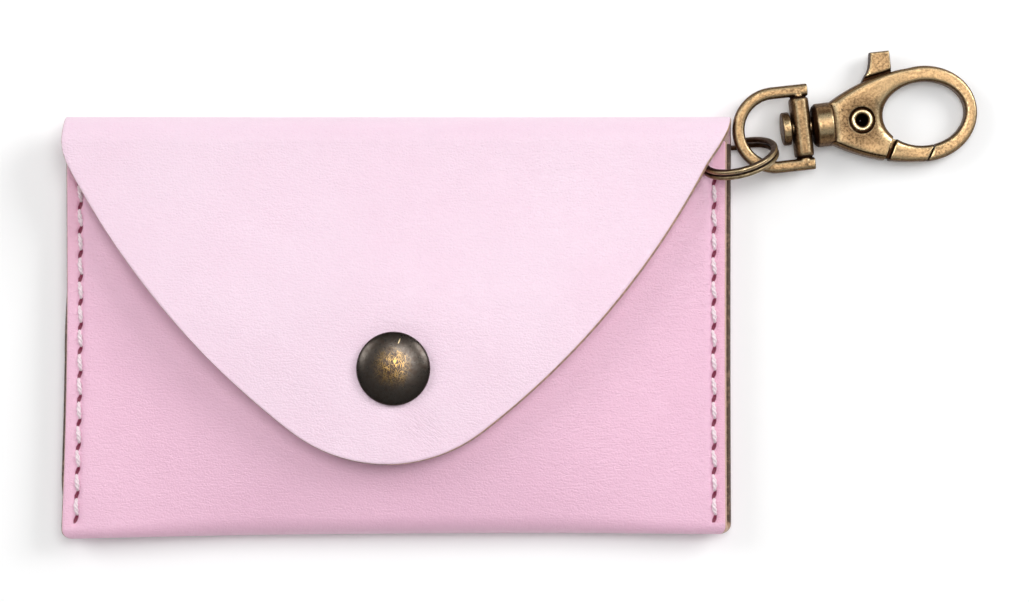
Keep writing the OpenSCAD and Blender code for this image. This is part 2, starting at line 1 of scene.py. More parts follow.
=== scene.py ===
"""Leather pick holder: soft forms, cast hardware and finishes, laid over the packed solids."""

from math import asin, cos, hypot, pi, radians, sin

import bmesh
import bpy
import numpy as np
from bpy.props import FloatProperty, FloatVectorProperty, PointerProperty
from mathutils import Matrix, Vector


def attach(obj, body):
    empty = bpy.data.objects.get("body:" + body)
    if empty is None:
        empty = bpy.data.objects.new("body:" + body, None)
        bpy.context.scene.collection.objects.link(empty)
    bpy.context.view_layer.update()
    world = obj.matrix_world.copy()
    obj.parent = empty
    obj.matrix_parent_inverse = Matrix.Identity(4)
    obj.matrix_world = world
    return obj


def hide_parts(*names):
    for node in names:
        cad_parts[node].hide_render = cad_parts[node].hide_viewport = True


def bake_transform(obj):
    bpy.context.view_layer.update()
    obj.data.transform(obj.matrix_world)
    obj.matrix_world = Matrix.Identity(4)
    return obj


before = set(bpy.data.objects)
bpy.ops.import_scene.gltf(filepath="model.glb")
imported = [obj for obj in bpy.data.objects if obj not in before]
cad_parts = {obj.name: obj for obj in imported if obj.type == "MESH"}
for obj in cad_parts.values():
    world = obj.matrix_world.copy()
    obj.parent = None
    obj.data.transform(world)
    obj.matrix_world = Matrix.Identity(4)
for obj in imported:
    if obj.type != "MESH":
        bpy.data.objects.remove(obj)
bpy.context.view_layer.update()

bl_info = {
    "name": "Leather pick holder",
    "version": (1, 0, 0),
    "blender": (4, 5, 0),
    "location": "View3D > Sidebar > Pick holder",
    "description": "Builds a stitched leather pick holder with a press snap and a swivel clasp",
    "category": "Object",
}

MM = 0.001

# The pocket's strip, as in the solids, in millimetres
LEATHER_T = 1.4
HALF_W = 49.9
TOP_Y = 31.5
FOLD_RUN = 4.0
FOLD_Y = TOP_Y - FOLD_RUN
SEAM_LIFT = 2.5
SEAM_TOP = 5.45
SEAM_FLAT_IN = 3.4
FLAT_HALF = 20.0
CROWN_HALF = 8.0
BELLY_H = 7.9
MOUTH_FALL = 0.5
BOTTOM_FALL = 1.3
BOTTOM_RUN = 3.2
CORNER_RUN = 1.9
EDGE_STEP = 0.3
SIDE_DRAW = 0.1
BOTTOM_DRAW = 0.4
SNAP_X = -0.5
SNAP_DROP = 37.65
SNAP_Y = TOP_Y - SNAP_DROP
PATCH_R = 10.5
PATCH_BLEND = 9.0

# What use and the knife have done to the strip, beyond the solids
MOUTH_R = 1.2
MOUTH_RISE = 0.8
BOTTOM_CORNER_R = 1.3
BOTTOM_TILT = 0.35
FRONT_ROLL, ROLL_Y, ROLL_RUN = 0.95, -14.0, 14.5
PLY_LEAN = 0.25
CUT_LEAN = 0.42
RIM_POWER = 24
LEFT_LEAN, LEAN_Y, LEAN_RUN, LEAN_POWER = 0.75, 8.5, 38.0, 4
LEFT_SHOW = 0.62
SHOW_TOP, SHOW_TOP_FADE = 12.0, 14.0
SHOW_LOW, SHOW_LOW_FADE = -29.0, 7.0
RIPPLE_IN, RIPPLE_RUN = 3.0, 8.0

# The painted cut edges
EDGE_STEPS = 7
EDGE_SQUARE = 0.7
PAINT_FROM, PAINT_FADE = 0.45, 0.3
LIP_PAINT = 0.2
BARE_EDGE = 0.42
FLAP_EDGE = 0.75
RIM_PAINT, RIM_PAINT_FADE = 0.95, 0.25

# The side seams
STITCHES = 14
STITCH_BELOW, STITCH_ABOVE, STITCH_IN = 2.7, 9.7, 2.0
STITCH_LOW = -TOP_Y + STITCH_BELOW
STITCH_PITCH = (2 * TOP_Y - STITCH_BELOW - STITCH_ABOVE) / STITCHES
STITCH_U = (HALF_W - STITCH_IN) / HALF_W
STITCH_SLANT = 0.17
SEAM_END, SEAM_END_FADE, SEAM_END_EASE = 2.2, 1.8, 7.0
GROOVE_W = 0.55
PAD_RISE, PAD_FROM, PAD_STEP, PAD_RUN = 0.3, 0.25, 0.4, 9.0
SEWN_EDGE = 0.5
# On the left, the sewn strip's tint grows towards the top; that added part is painted shade from the flap, the
# rest is the strip's own tint.
LEFT_SEWN, LEFT_SEWN_SHADE_RUN = 0.3, 14.0
HOLE_LONG, HOLE_WIDE, HOLE_SLANT = 0.85, 0.36, 0.3
# How far each stitch hole's painted shade reaches, and how it fades.
HOLE_SHADE_REACH, HOLE_SHADE_FADE = 1.2, 0.6

# The flap and the snap's cap
ROOT_TOP = 9.9
CORNER_R = 13.2
CORNER_A = radians(27)
FLANK_R = 121.6
FLANK_A = radians(52.4)
ROOT_A = asin(FOLD_RUN / CORNER_R)
FLAP_SKEW = -1.4
SKEW_RUN = 7.5
FLAP_SAG = 0.7
CAP_SEAT = 12.55
CAP_R = 5.5
CAP_CROWN = 1.6
SEAT_MARGIN, SEAT_BLEND = 0.1, 15.0
CAP_PRESS, CAP_PRESS_W = 0.16, 1.3
CAP_CALM, CAP_CALM_RUN = 2.0, 6.0
FOLD_EASE, EASE_Y, EASE_RUN = 0.35, 16.0, 15.5
FLAP_RIPPLE_AT, FLAP_RIPPLE_RUN = 40.0, 10.0
SOCKET_Z = 8.6

# The split ring
RING_R = 5.4
RING_WIRE_W = 1.0
RING_WIRE_T = 0.64
RING_SHIFT = 0.88
RING_CUT_A = radians(255)
RING_CUT = 2 / 32
RING_CENTRE = Vector((51.3172, 25.2725, 5.9025))
RING_U = Vector((0.9625, 0.2713, 0)).normalized()
RING_LEAN = radians(24)
RING_SIDE = Vector((0.2713, -0.9625, 0)).normalized()
RING_V = sin(RING_LEAN) * RING_SIDE + cos(RING_LEAN) * Vector((0, 0, 1))
RING_FLATNESS = 0.6
RING_STEP_AT, RING_STEP_RUN = 0.94, 0.12

# The clasp, its loop and its gate, in the clasp's own frame
CLASP_TURN = radians(6.5)
CLASP_TILT = radians(4.2)
CLASP_ORIGIN = Vector((69.5235, 31.0225, 2.9969))
CLASP_FRAME = (
    Matrix.Translation(CLASP_ORIGIN)
    @ Matrix.Rotation(CLASP_TURN, 4, "Z")
    @ Matrix.Rotation(CLASP_TILT, 4, "Y")
)
COLLAR_BACK = 4.7
COLLAR_R = 3.3
COLLAR_CHAMFER = 6.75
COLLAR_END = 7.3
COLLAR_END_R = 2.75
# Where the painted shade at the collar's end, before the crossbar, begins.
COLLAR_SHADE_X = -6.6
CROSS_NEAR = 7.55
CROSS_W = 2.9
CROSS_T = 4.4
CROSS_FAR = CROSS_NEAR + CROSS_W
STEM_R = 1.3
HEAD_NEAR = 10.7
HEAD_T = 1.25
HEAD_R = 2.5
LOOP_W = 12.9
LOOP_BAR_W = 1.75
LOOP_BAR_T = 2.2
LOOP_REACH = 19.4
LOOP_MID_R = (LOOP_W - LOOP_BAR_W) / 2
LOOP_BEND_X = -LOOP_REACH + LOOP_W / 2
EYE_X = 9.6
EYE_A = 6.25
EYE_B = 4.8
OUT_A = EYE_A + 1.85
OUT_B = EYE_B + 2.4
NECK_W = 3.1
SHOULDER_A = radians(101)
BODY_HALF_T = 2.3
RIM_HALF_T = 1.6
RIVET_R = 1.35
RIVET_BORE_R = 0.95
FLARE_R = 1.6
RECESS_R = 1.95
RIVET_HALF = 2.25
FLARE_T = 0.3
LEVER_T = 1.7
SLOT_HALF = 0.97
HUB_R = 3.0
WINDOW_LINE_A = radians(62.5)
WINDOW_FOOT = np.array([3.55, -4.85])
GATE_REACH = 11.35
GATE_GAP = 0.45
NECK_GAP, NOSE_GAP = 0.7, 0.2
THUMB_H = 10.0
THUMB_T = 2.6
PILLOW = 0.44
CAST_VOXEL, FINE_VOXEL = 0.11, 0.1
CAST_PASSES = 5
AXIS_R = 1e-5

# Where the castings are rubbed bright and where they stay dark, with a painted highlight on up-facing edges and
# painted shade on their flanks
RUB_REACH = 14
PROUD_FROM, PROUD_RUN = 0.25, 0.9
# A painted highlight band on edges at this slope, and all wear kept to up-facing surfaces.
HIGHLIGHT_FACING, HIGHLIGHT_FACING_W, RIM_HIGHLIGHT = 0.93, 0.05, 0.9
HIGHLIGHT_TOP_FROM, HIGHLIGHT_TOP_FADE = 0.62, 0.18
HOLLOW_RUN = 0.40
# Painted shade on the steep flanks.
FLANK_SHADE, FLANK_SHADE_FROM, FLANK_SHADE_FADE = 0.66, 0.78, 0.28
RIVET_STAIN, STAIN_R, STAIN_FADE = 0.55, 5.2, 2.8
# Where the painted shade line along the lower flank lies, and its width.
PARTING_SHADE_IN, PARTING_SHADE_W = 0.55, 0.13
PAD_GRIME = 0.24
LOOP_GRIME, BAR_GRIME = 0.22, 0.38

# Marks on the finishes, in metres
CREASE_AT, CREASE_TURN, CREASE_SIZE = (0.0034, -0.0142, 0), -0.62, (0.0055, 0.0042, 1.0)
CROWN_OFF = (0.0002, -0.0002)
SCUFF_SWEEPS = ((0.5, 1.1), (-0.7, 1.0), (1.2, 0.9), (-0.1, 1.2))
SCUFF_W, SCUFF_L = 0.00016, 0.0016
NICK_AT, NICK_TURN, NICK_SIZE = (0.0011, 0.00392, 0), -0.38, (0.0001, 0.00046, 1.0)

# The stage, in metres
VIEW_MIDDLE = (17.5 * MM, 3.9 * MM, 0)
SENSOR_W = 36
FLOOR_HALF = 1.5
FLOOR_GLOW = 0.05
LAMPS = (("key", 0.40, (0.60, 0.34, 0.52)), ("fill", 0.35, (-0.50, 0.28, 0.45)),
         ("sheen", 0.34, (0.09, 0.13, 0.82)))


def tint(name, description, default):
    return FloatVectorProperty(name=name, description=description, subtype="COLOR", size=3, min=0, max=1,
                               default=default)


def measure(name, description, least, most, default):
    return FloatProperty(name=name, description=description, unit="LENGTH", min=least, max=most,
                         default=default)


def lamp_power(name, description, default):
    return FloatProperty(name=name, description=description, unit="POWER", min=0, max=100, default=default)


class LeatherSettings(bpy.types.PropertyGroup):
    """Colours and edge work of the leather."""

    colour: tint("Leather", "Colour of the finished grain side", (0.86, 0.52, 0.675))
    shade: tint("Mottling", "Colour of the slightly deeper patches in the dye", (0.83, 0.485, 0.645))
    # The flap's paler colour is painted light, standing in for the brighter light and sheen on the flap's upward
    # face.
    pale: tint("Flap face", "Colour of the flap's paler face", (0.872, 0.672, 0.788))
    # On the left near the top, this colour is also painted shade under the flap.
    sewn: tint("Sewn strip", "Colour of the pressed strip outside the stitches", (0.80, 0.375, 0.50))
    flesh: tint("Flesh side", "Colour of the unfinished inner side", (0.66, 0.47, 0.47))
    edge: tint("Cut edge", "Colour of the bare cut edge", (0.62, 0.38, 0.25))
    paint: tint("Edge paint", "Colour of the dark paint on the cut edge", (0.080, 0.044, 0.029))
    edge_round: measure("Edge rounding", "How far the cut edge is rounded back", 0.0001, 0.0007, 0.0004)
    seam_press: measure("Seam groove", "Depth that the stitch line is pressed into the leather",
                        0, 0.0003, 0.00012)
    hole_depth: measure("Hole dimple", "Depth of the dimple at each stitch hole", 0, 0.0006, 0.0004)
    grain_depth: measure("Grain depth", "Height of the fine grain on the leather", 0, 0.0002, 0.00006)


class ThreadSettings(bpy.types.PropertyGroup):
    """The sewing thread and its stitches."""

    colour: tint("Thread", "Colour of the waxed thread", (0.93, 0.78, 0.83))
    # The stitch holes' dark colour is painted shade; the holes are only shallow dimples in the leather.
    hole: tint("Stitch hole", "Colour inside the stitch holes", (0.19, 0.010, 0.045))
    length: measure("Stitch length", "Length of thread seen between two holes", 0.0015, 0.0036, 0.0023)
    ply_radius: measure("Ply radius", "Radius of each of the thread's two plies", 0.0001, 0.0004, 0.00021)
    rise: measure("Stitch rise", "Height of a stitch's middle above the leather", 0, 0.0006, 0.0002)
    twist: FloatProperty(
        name="Twist", description="Turns of the plies in one stitch", min=0.5, max=4, default=1.6)


class BrassSettings(bpy.types.PropertyGroup):
    """The antique brass of the hardware."""

    face: tint("Faces", "Colour of the aged faces", (0.40, 0.238, 0.110))
    # This colour is also laid on as a painted highlight on the castings' up-facing edges.
    rubbed_and_highlight: tint("Rubbed edges", "Colour of the brass where handling has polished it", (0.98, 0.77, 0.45))
    # This colour is also laid on as painted shade on the castings' flanks, gaps and slots, in the rivet's bore
    # and on the split ring.
    dark: tint("Recesses", "Colour of the dark patina left in the recesses", (0.034, 0.013, 0.005))
    ring_face: tint("Split ring", "Colour of the darker wire of the split ring", (0.115, 0.062, 0.034))
    cap_face: tint("Snap cap", "Colour of the darkened dome of the snap", (0.085, 0.071, 0.060))
    cap_scuff: tint("Scuffed crown", "Colour of the brass in the scuffs on the dome", (0.27, 0.158, 0.040))
    steel: tint("Springs", "Colour of the spring steel", (0.42, 0.40, 0.37))


class StageSettings(bpy.types.PropertyGroup):
    """Camera, floor and lamps."""

    floor: tint("Floor", "Colour of the floor", (0.95, 0.95, 0.95))
    view_width: measure("View width", "Width of the picture at the height of the seams", 0.1, 0.3, 0.15435)
    camera_height: measure("Camera height", "Height of the camera over the floor", 0.3, 2, 0.75)
    key_power: lamp_power("Key lamp", "Power of the large soft lamp", 3.1)
    fill_power: lamp_power("Fill lamp", "Power of the soft lamp on the other side", 1.4)
    sheen_power: lamp_power("Sheen lamp", "Power of the high lamp that shows on the flap's face", 2.75)
    sky: FloatProperty(
        name="Room light", description="Strength of the even light of the room", min=0, max=2, default=0.30)


def smooth(t):
    c = np.clip(t, 0, 1)
    return c * c * (3 - 2 * c)


def mix(a, b, t):
    return a + (b - a) * t


def spread(stops, steps):
    """Values along stops, with the given number of steps between each pair."""
    runs = [np.linspace(a, b, n, endpoint=False) for a, b, n in zip(stops, stops[1:], steps)]
    return np.concatenate(runs + [[stops[-1]]])


def points(x, y, z):
    return np.stack(np.broadcast_arrays(x, y, z), axis=-1).astype(float)


# Meshes

def linked(name, mesh):
    obj = bpy.data.objects.new(name, mesh)
    bpy.context.scene.collection.objects.link(obj)
    return obj


def mark(mesh, name, values):
    """Stores a named value at each of the mesh's points."""
    mesh.attributes.new(name, "FLOAT", "POINT").data.foreach_set("value", np.asarray(values, np.float32))


def plain_mesh(name, verts, faces, materials=(), masks=None):
    """An object from points in millimetres; masks are named values at the points."""
    mesh = bpy.data.meshes.new(name)
    mesh.from_pydata((np.asarray(verts) * MM).tolist(), [], faces)
    for label, values in (masks or {}).items():
        mark(mesh, label, values)
    for material in materials:
        mesh.materials.append(material)
    return linked(name, mesh)


def shade(obj, sharp=50):
    """Smooth shading that breaks at edges sharper than this angle."""
    obj.data.shade_smooth()
    obj.data.set_sharp_from_angle(angle=radians(sharp))
    return obj


def face_outwards(obj):
    """Merges doubled points and turns every face outwards."""
    work = bmesh.new()
    work.from_mesh(obj.data)
    bmesh.ops.remove_doubles(work, verts=work.verts, dist=1e-8)
    bmesh.ops.dissolve_degenerate(work, edges=work.edges, dist=1e-9)
    bmesh.ops.recalc_face_normals(work, faces=work.faces)
    work.to_mesh(obj.data)
    work.free()
    return obj


def loft_faces(rows, n, closed=False):
    """Quads over rows of n points, each row a closed loop."""
    faces = []
    for r in range(rows if closed else rows - 1):
        a, b = r * n, ((r + 1) % rows) * n
        faces += [(a + k, a + (k + 1) % n, b + (k + 1) % n, b + k) for k in range(n)]
    return faces


def finished(obj, materials):
    """The object's evaluated mesh as its plain mesh, with its modifiers removed."""
    graph = bpy.context.evaluated_depsgraph_get()
    mesh = bpy.data.meshes.new_from_object(obj.evaluated_get(graph), preserve_all_data_layers=True,
                                           depsgraph=graph)
    obj.modifiers.clear()
    old, obj.data = obj.data, mesh
    mesh.name = old.name
    bpy.data.meshes.remove(old)
    mesh.materials.clear()
    for material in materials:
        mesh.materials.append(material)
    return obj


def drop(obj):
    bpy.data.objects.remove(obj, do_unlink=True)


def settle(obj, body, nodes):
    """Puts a finished piece on its body in place of its CAD nodes."""
    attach(obj, body)
    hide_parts(*nodes)


# Leather forms: the same rules as the solids follow, with u from -1 to 1 across the strip

def seam_rise(u, start):
    return smooth((np.abs(u) * HALF_W - start) / (HALF_W - SEAM_FLAT_IN - start))


def back_z(u):
    return mix(0.0, SEAM_LIFT, seam_rise(u, FLAT_HALF))


def belly_z(y):
    up = BELLY_H - MOUTH_FALL * ((y - SNAP_Y) / (FOLD_Y - SNAP_Y)) ** 2
    down = BELLY_H - BOTTOM_FALL * ((SNAP_Y - y) / (SNAP_Y + TOP_Y - BOTTOM_RUN)) ** 2
    return np.where(y > SNAP_Y, up, down)


def patch(x, y):
    """0 on the flat round patch at the snap, 1 away from it."""
    return smooth((np.hypot(x - SNAP_X, y - SNAP_Y) - PATCH_R) / PATCH_BLEND)


def front_roll(u, y):
    """How far the front's lower end sinks between the seams, and how steeply."""
    run, middle = np.maximum((ROLL_Y - y) / ROLL_RUN, 0), 1 - seam_rise(u, FLAT_HALF)
    return FRONT_ROLL * middle * run ** 2, 2 * FRONT_ROLL * middle * run / ROLL_RUN


def front_z(u, y):
    raw = mix(belly_z(y), SEAM_TOP, seam_rise(u, CROWN_HALF))
    return mix(BELLY_H, raw, patch(u * HALF_W, y)) - front_roll(u, y)[0]


def strip_x(u, y, front):
    """Place across the strip; front is 0 on the back ply and 1 on the front one."""
    into = np.clip(BOTTOM_CORNER_R - TOP_Y + BOTTOM_TILT * u - y, 0, BOTTOM_CORNER_R)
    corner = BOTTOM_CORNER_R - np.sqrt(BOTTOM_CORNER_R ** 2 - into ** 2)
    half = HALF_W - front * EDGE_STEP - SIDE_DRAW * (1 - (y / TOP_Y) ** 2) - corner
    left = np.clip(-u, 0, 1)
    lean = LEFT_LEAN * np.clip((LEAN_Y - y) / LEAN_RUN, 0, 1) ** 2 * left ** LEAN_POWER
    seen = smooth((SHOW_TOP - y) / SHOW_TOP_FADE) * smooth((y - SHOW_LOW) / SHOW_LOW_FADE)
    show = LEFT_SHOW * (1 - front) * seen * left ** RIM_POWER
    return u * half - PLY_LEAN * (2 * front - 1) * np.abs(u) ** RIM_POWER - lean - show


def fold_depth(u):
    return mix(BOTTOM_RUN, CORNER_RUN, seam_rise(u, FLAT_HALF))


def bend_y(u):
    return -TOP_Y + fold_depth(u) + BOTTOM_DRAW * (1 - u * u) + BOTTOM_TILT * u


def mouth_y(u):
    over = np.maximum(np.abs(u) * HALF_W - (HALF_W - MOUTH_R), 0)
    return FOLD_Y + MOUTH_RISE - MOUTH_R + np.sqrt(MOUTH_R ** 2 - over ** 2)


def strip_point(u, part, t, depth, short):
    """Points of the pocket's strip; t runs along its back, bottom bend or front."""
    low, yb = back_z(u), bend_y(u)
    if part == "back":
        y = mix(FOLD_Y, yb, t)
        return points(strip_x(u, y, 0), y, low + depth)
    if part == "bend":
        high, a = front_z(u, yb), pi * (t - 0.5)
        y = yb - (fold_depth(u) - depth) * cos(a)
        z = (high + low) / 2 + ((high - low) / 2 - depth) * sin(a)
        z = z - front_roll(u, yb)[1] * (yb - y) * (1 + sin(a)) / 2
        return points(strip_x(u, y, (1 + sin(a)) / 2), y, z)
    y = mix(yb, mouth_y(u) - short, t)
    return points(strip_x(u, y, 1), y, front_z(u, y) - depth)


def stitch_x(side, y):
    return strip_x(side * STITCH_U, y, 1)


def stitch_ys():
    return STITCH_LOW + STITCH_PITCH * np.arange(STITCHES + 1)


def edge_profile(round_mm):
    """Depth, as a share of the thickness, reach and paint of the points round a cut edge."""
    a = pi * (np.arange(EDGE_STEPS) + 1) / (EDGE_STEPS + 1)
    paint = smooth((np.sin(a) - PAINT_FROM) / PAINT_FADE)
    return (1 - np.cos(a)) / 2, round_mm * np.sin(a) ** EDGE_SQUARE, paint


def seam_marks(x, y, press, dimple):
    """How far the outer face sinks at the seams, how dark each hole is as painted shade, and where the sewn strip
    lies, its tint on the left near the top partly painted shade under the flap.
    """
    sink, hole, sewn = np.zeros_like(x), np.zeros_like(x), np.zeros_like(x)
    ys = stitch_ys()
    over_low, over_high = y - ys[0] + SEAM_END, ys[-1] + SEAM_END - y
    along = smooth(over_low / SEAM_END_FADE) * smooth(over_high / SEAM_END_FADE)
    eased = along * smooth(over_low / SEAM_END_EASE)
    for side in (-1, 1):
        across = x - stitch_x(side, y)
        inside = np.maximum(-side * across - PAD_FROM, 0)
        sink += press * np.exp(-(across / GROOVE_W) ** 2) * along
        sink -= PAD_RISE * (1 - np.exp(-inside / PAD_STEP)) * np.exp(-inside / PAD_RUN) * eased
        # The left strip's tint rising towards the top is painted shade under the flap.
        rosy_tint_and_shade = 1.0 if side > 0 else mix(LEFT_SEWN, 1.0, smooth(y / LEFT_SEWN_SHADE_RUN))
        sewn += rosy_tint_and_shade * smooth((side * across + SEWN_EDGE) / SEWN_EDGE)
        for hole_y in ys:
            up = y - hole_y
            far = np.hypot(up / HOLE_LONG, (across - HOLE_SLANT * up) / HOLE_WIDE)
            sink += dimple * np.exp(-far ** 2)
            # Painted shade in each stitch hole.
            hole = np.maximum(hole, smooth((HOLE_SHADE_REACH - far) / HOLE_SHADE_FADE))
    return sink, hole, sewn


def hand_ripple(x, y):
    """The faint unevenness of a handled hide, in millimetres."""
    return (0.050 * np.sin(0.105 * x + 0.6) * np.sin(0.16 * y + 0.4)
            + 0.030 * np.sin(0.23 * x - 0.19 * y + 1.7)
            + 0.018 * np.sin(0.41 * x + 0.52 * y + 0.3))


def closed_shell(name, rows, columns, masks, material, cap_last):
    """A skin over loops of outer face, right edge, inner face and left edge, with one or both ends closed."""
    count, n = len(rows), len(rows[0])
    faces = loft_faces(count, n)
    for first in (0, (count - 1) * n) if cap_last else (0,):
        outer = [first + k for k in range(columns)]
        right = [first + columns + k for k in range(EDGE_STEPS)]
        inner = [first + 2 * columns + EDGE_STEPS - 1 - k for k in range(columns)]
        left = [first + 2 * columns + EDGE_STEPS + k for k in range(EDGE_STEPS)]
        faces += [(outer[k], outer[k + 1], inner[k + 1], inner[k]) for k in range(columns - 1)]
        faces += [[outer[-1]] + right + [inner[-1]], [inner[0]] + left + [outer[0]]]
    obj = plain_mesh(name, np.concatenate(rows), faces, [material],
                     {k: np.concatenate(v) for k, v in masks.items()})
    return shade(face_outwards(obj))


def flesh_side(columns):
    """1 on the inner face's points of a loop, 0 on the rest."""
    return np.concatenate([np.zeros(columns + EDGE_STEPS), np.ones(columns), np.zeros(EDGE_STEPS)])


def pocket_mesh(settings, material):
    """The folded strip: back, bottom bend and front, with rounded edges and a pressed seam."""
    edge_r = settings.edge_round / MM
    press, dimple = settings.seam_press / MM, settings.hole_depth / MM
    reach = 1 - edge_r / HALF_W
    wide = HALF_W - edge_r
    u = spread([-wide, -45.3, -40, 40, 45.3, wide], [22, 6, 44, 6, 22]) / HALF_W
    columns = len(u)
    shares, reaches, painted = edge_profile(edge_r)
    run = ([("back", t) for t in np.linspace(0, 1, 165, endpoint=False)]
           + [("bend", t) for t in np.linspace(0, 1, 22, endpoint=False)]
           + [("front", t) for t in np.linspace(0, 1, 200)])
    lips = [(sin(a), (1 - cos(a)) / 2) for a in np.linspace(0, pi / 2, 6)[1:]]
    run += [("front", 1.0)] * len(lips)
    rows, masks = [], {"edge": [], "flesh": [], "hole": [], "sewn": []}
    for index, (part, t) in enumerate(run):
        lip = index - (len(run) - len(lips))
        out, sunk = lips[lip] if lip >= 0 else (0.0, 0.0)
        top, low = LEATHER_T * sunk, LEATHER_T * (1 - sunk)
        outer = strip_point(u, part, t, top, edge_r)
        inner = strip_point(u, part, t, low, edge_r)
        hole, sewn = np.zeros(columns), np.zeros(columns)
        if part != "bend" and lip < 0:
            sink, hole, sewn = seam_marks(outer[:, 0], outer[:, 1], press, dimple)
            if part == "back":
                outer[:, 2] += sink
            else:
                calm = smooth((HALF_W - RIPPLE_IN - np.abs(outer[:, 0])) / RIPPLE_RUN)
                wave = hand_ripple(outer[:, 0], outer[:, 1]) * calm * patch(outer[:, 0], outer[:, 1])
                outer[:, 2] += -sink + wave * smooth(t * 4) * smooth((1 - t) * 6)
        sides = []
        for side in (1, -1):
            base = strip_point(np.full(EDGE_STEPS, side * reach), part, t, mix(top, low, shares), edge_r)
            base[:, 0] += side * reaches * (1 - 2 * sunk)
            sides.append(base)
        row = np.concatenate([outer, sides[0], inner[::-1], sides[1][::-1]])
        row[:, 1] += edge_r * out
        row[:, 2] = np.maximum(row[:, 2], 0)
        rows.append(row)
        lip_paint = np.full(columns, float(sunk > LIP_PAINT))
        bare = {"back": 0.0, "bend": t, "front": 1.0}[part]
        right_paint, left_paint = np.full(EDGE_STEPS, mix(1.0, BARE_EDGE, bare)), mix(1.0, painted, bare)
        rim = smooth((np.abs(u) * HALF_W - HALF_W + RIM_PAINT) / RIM_PAINT_FADE)
        inner_paint = np.maximum(lip_paint, (1 - bare) * rim)[::-1]
        rest = np.zeros(columns + 2 * EDGE_STEPS)
        masks["edge"].append(np.concatenate([lip_paint, right_paint, inner_paint, left_paint]))
        masks["flesh"].append(flesh_side(columns))
        masks["hole"].append(np.concatenate([hole, rest]))
        masks["sewn"].append(np.concatenate([sewn, rest]))
    return closed_shell("leather_pocket", rows, columns, masks, material, cap_last=False)


FLANK_START = np.array([HALF_W - CORNER_R * (1 - cos(CORNER_A)), TOP_Y - CORNER_R * sin(CORNER_A)])
TIP_START = FLANK_START - FLANK_R * np.array([cos(CORNER_A) - cos(FLANK_A), sin(FLANK_A) - sin(CORNER_A)])
TIP_R = TIP_START[0] / cos(FLANK_A)


def flap_edge(a):
    """Half width and height of the flap's outline where its slope is a."""
    if a <= CORNER_A:
        return np.array([HALF_W - CORNER_R * (1 - cos(a)), TOP_Y - CORNER_R * sin(a)])
    if a <= FLANK_A:
        return FLANK_START - FLANK_R * np.array([cos(CORNER_A) - cos(a), sin(a) - sin(CORNER_A)])
    return TIP_START - TIP_R * np.array([cos(FLANK_A) - cos(a), sin(a) - sin(FLANK_A)])


def flap_mid(y):
    return FLAP_SKEW * smooth((TOP_Y - y) / SKEW_RUN)


def fold_ease(y):
    """How far the flap's face is eased down towards the top fold."""
    return FOLD_EASE * np.clip((y - EASE_Y) / EASE_RUN, 0, 1) ** 2


def flap_z(x, y):
    s = np.clip((FOLD_Y - y) / (FOLD_Y - SNAP_Y), 0, 1)
    raw = mix(ROOT_TOP, CAP_SEAT, (1 - np.cos(pi * s)) / 2)
    raw = raw - FLAP_SAG * smooth(2 * s) * (x / HALF_W) ** 2
    flat = smooth((np.hypot(x - SNAP_X, y - SNAP_Y) - CAP_R - SEAT_MARGIN) / SEAT_BLEND)
    return mix(CAP_SEAT, raw, flat) - fold_ease(y)


def fold_point(u, a, depth):
    """Points of the top fold, half an ellipse from the back over to the flap."""
    low = back_z(u)
    y = FOLD_Y + (FOLD_RUN - depth) * cos(a)
    slope = np.arcsin((TOP_Y - y) / CORNER_R)
    corner = u * (HALF_W - CORNER_R * (1 - np.cos(slope))) + flap_mid(y)
    x = mix(strip_x(u, y, 0), corner, (1 + sin(a)) / 2)
    z = (ROOT_TOP + low) / 2 + ((ROOT_TOP - low) / 2 - depth) * sin(a)
    return points(x, y, z - fold_ease(y) * (1 + sin(a)) / 2)


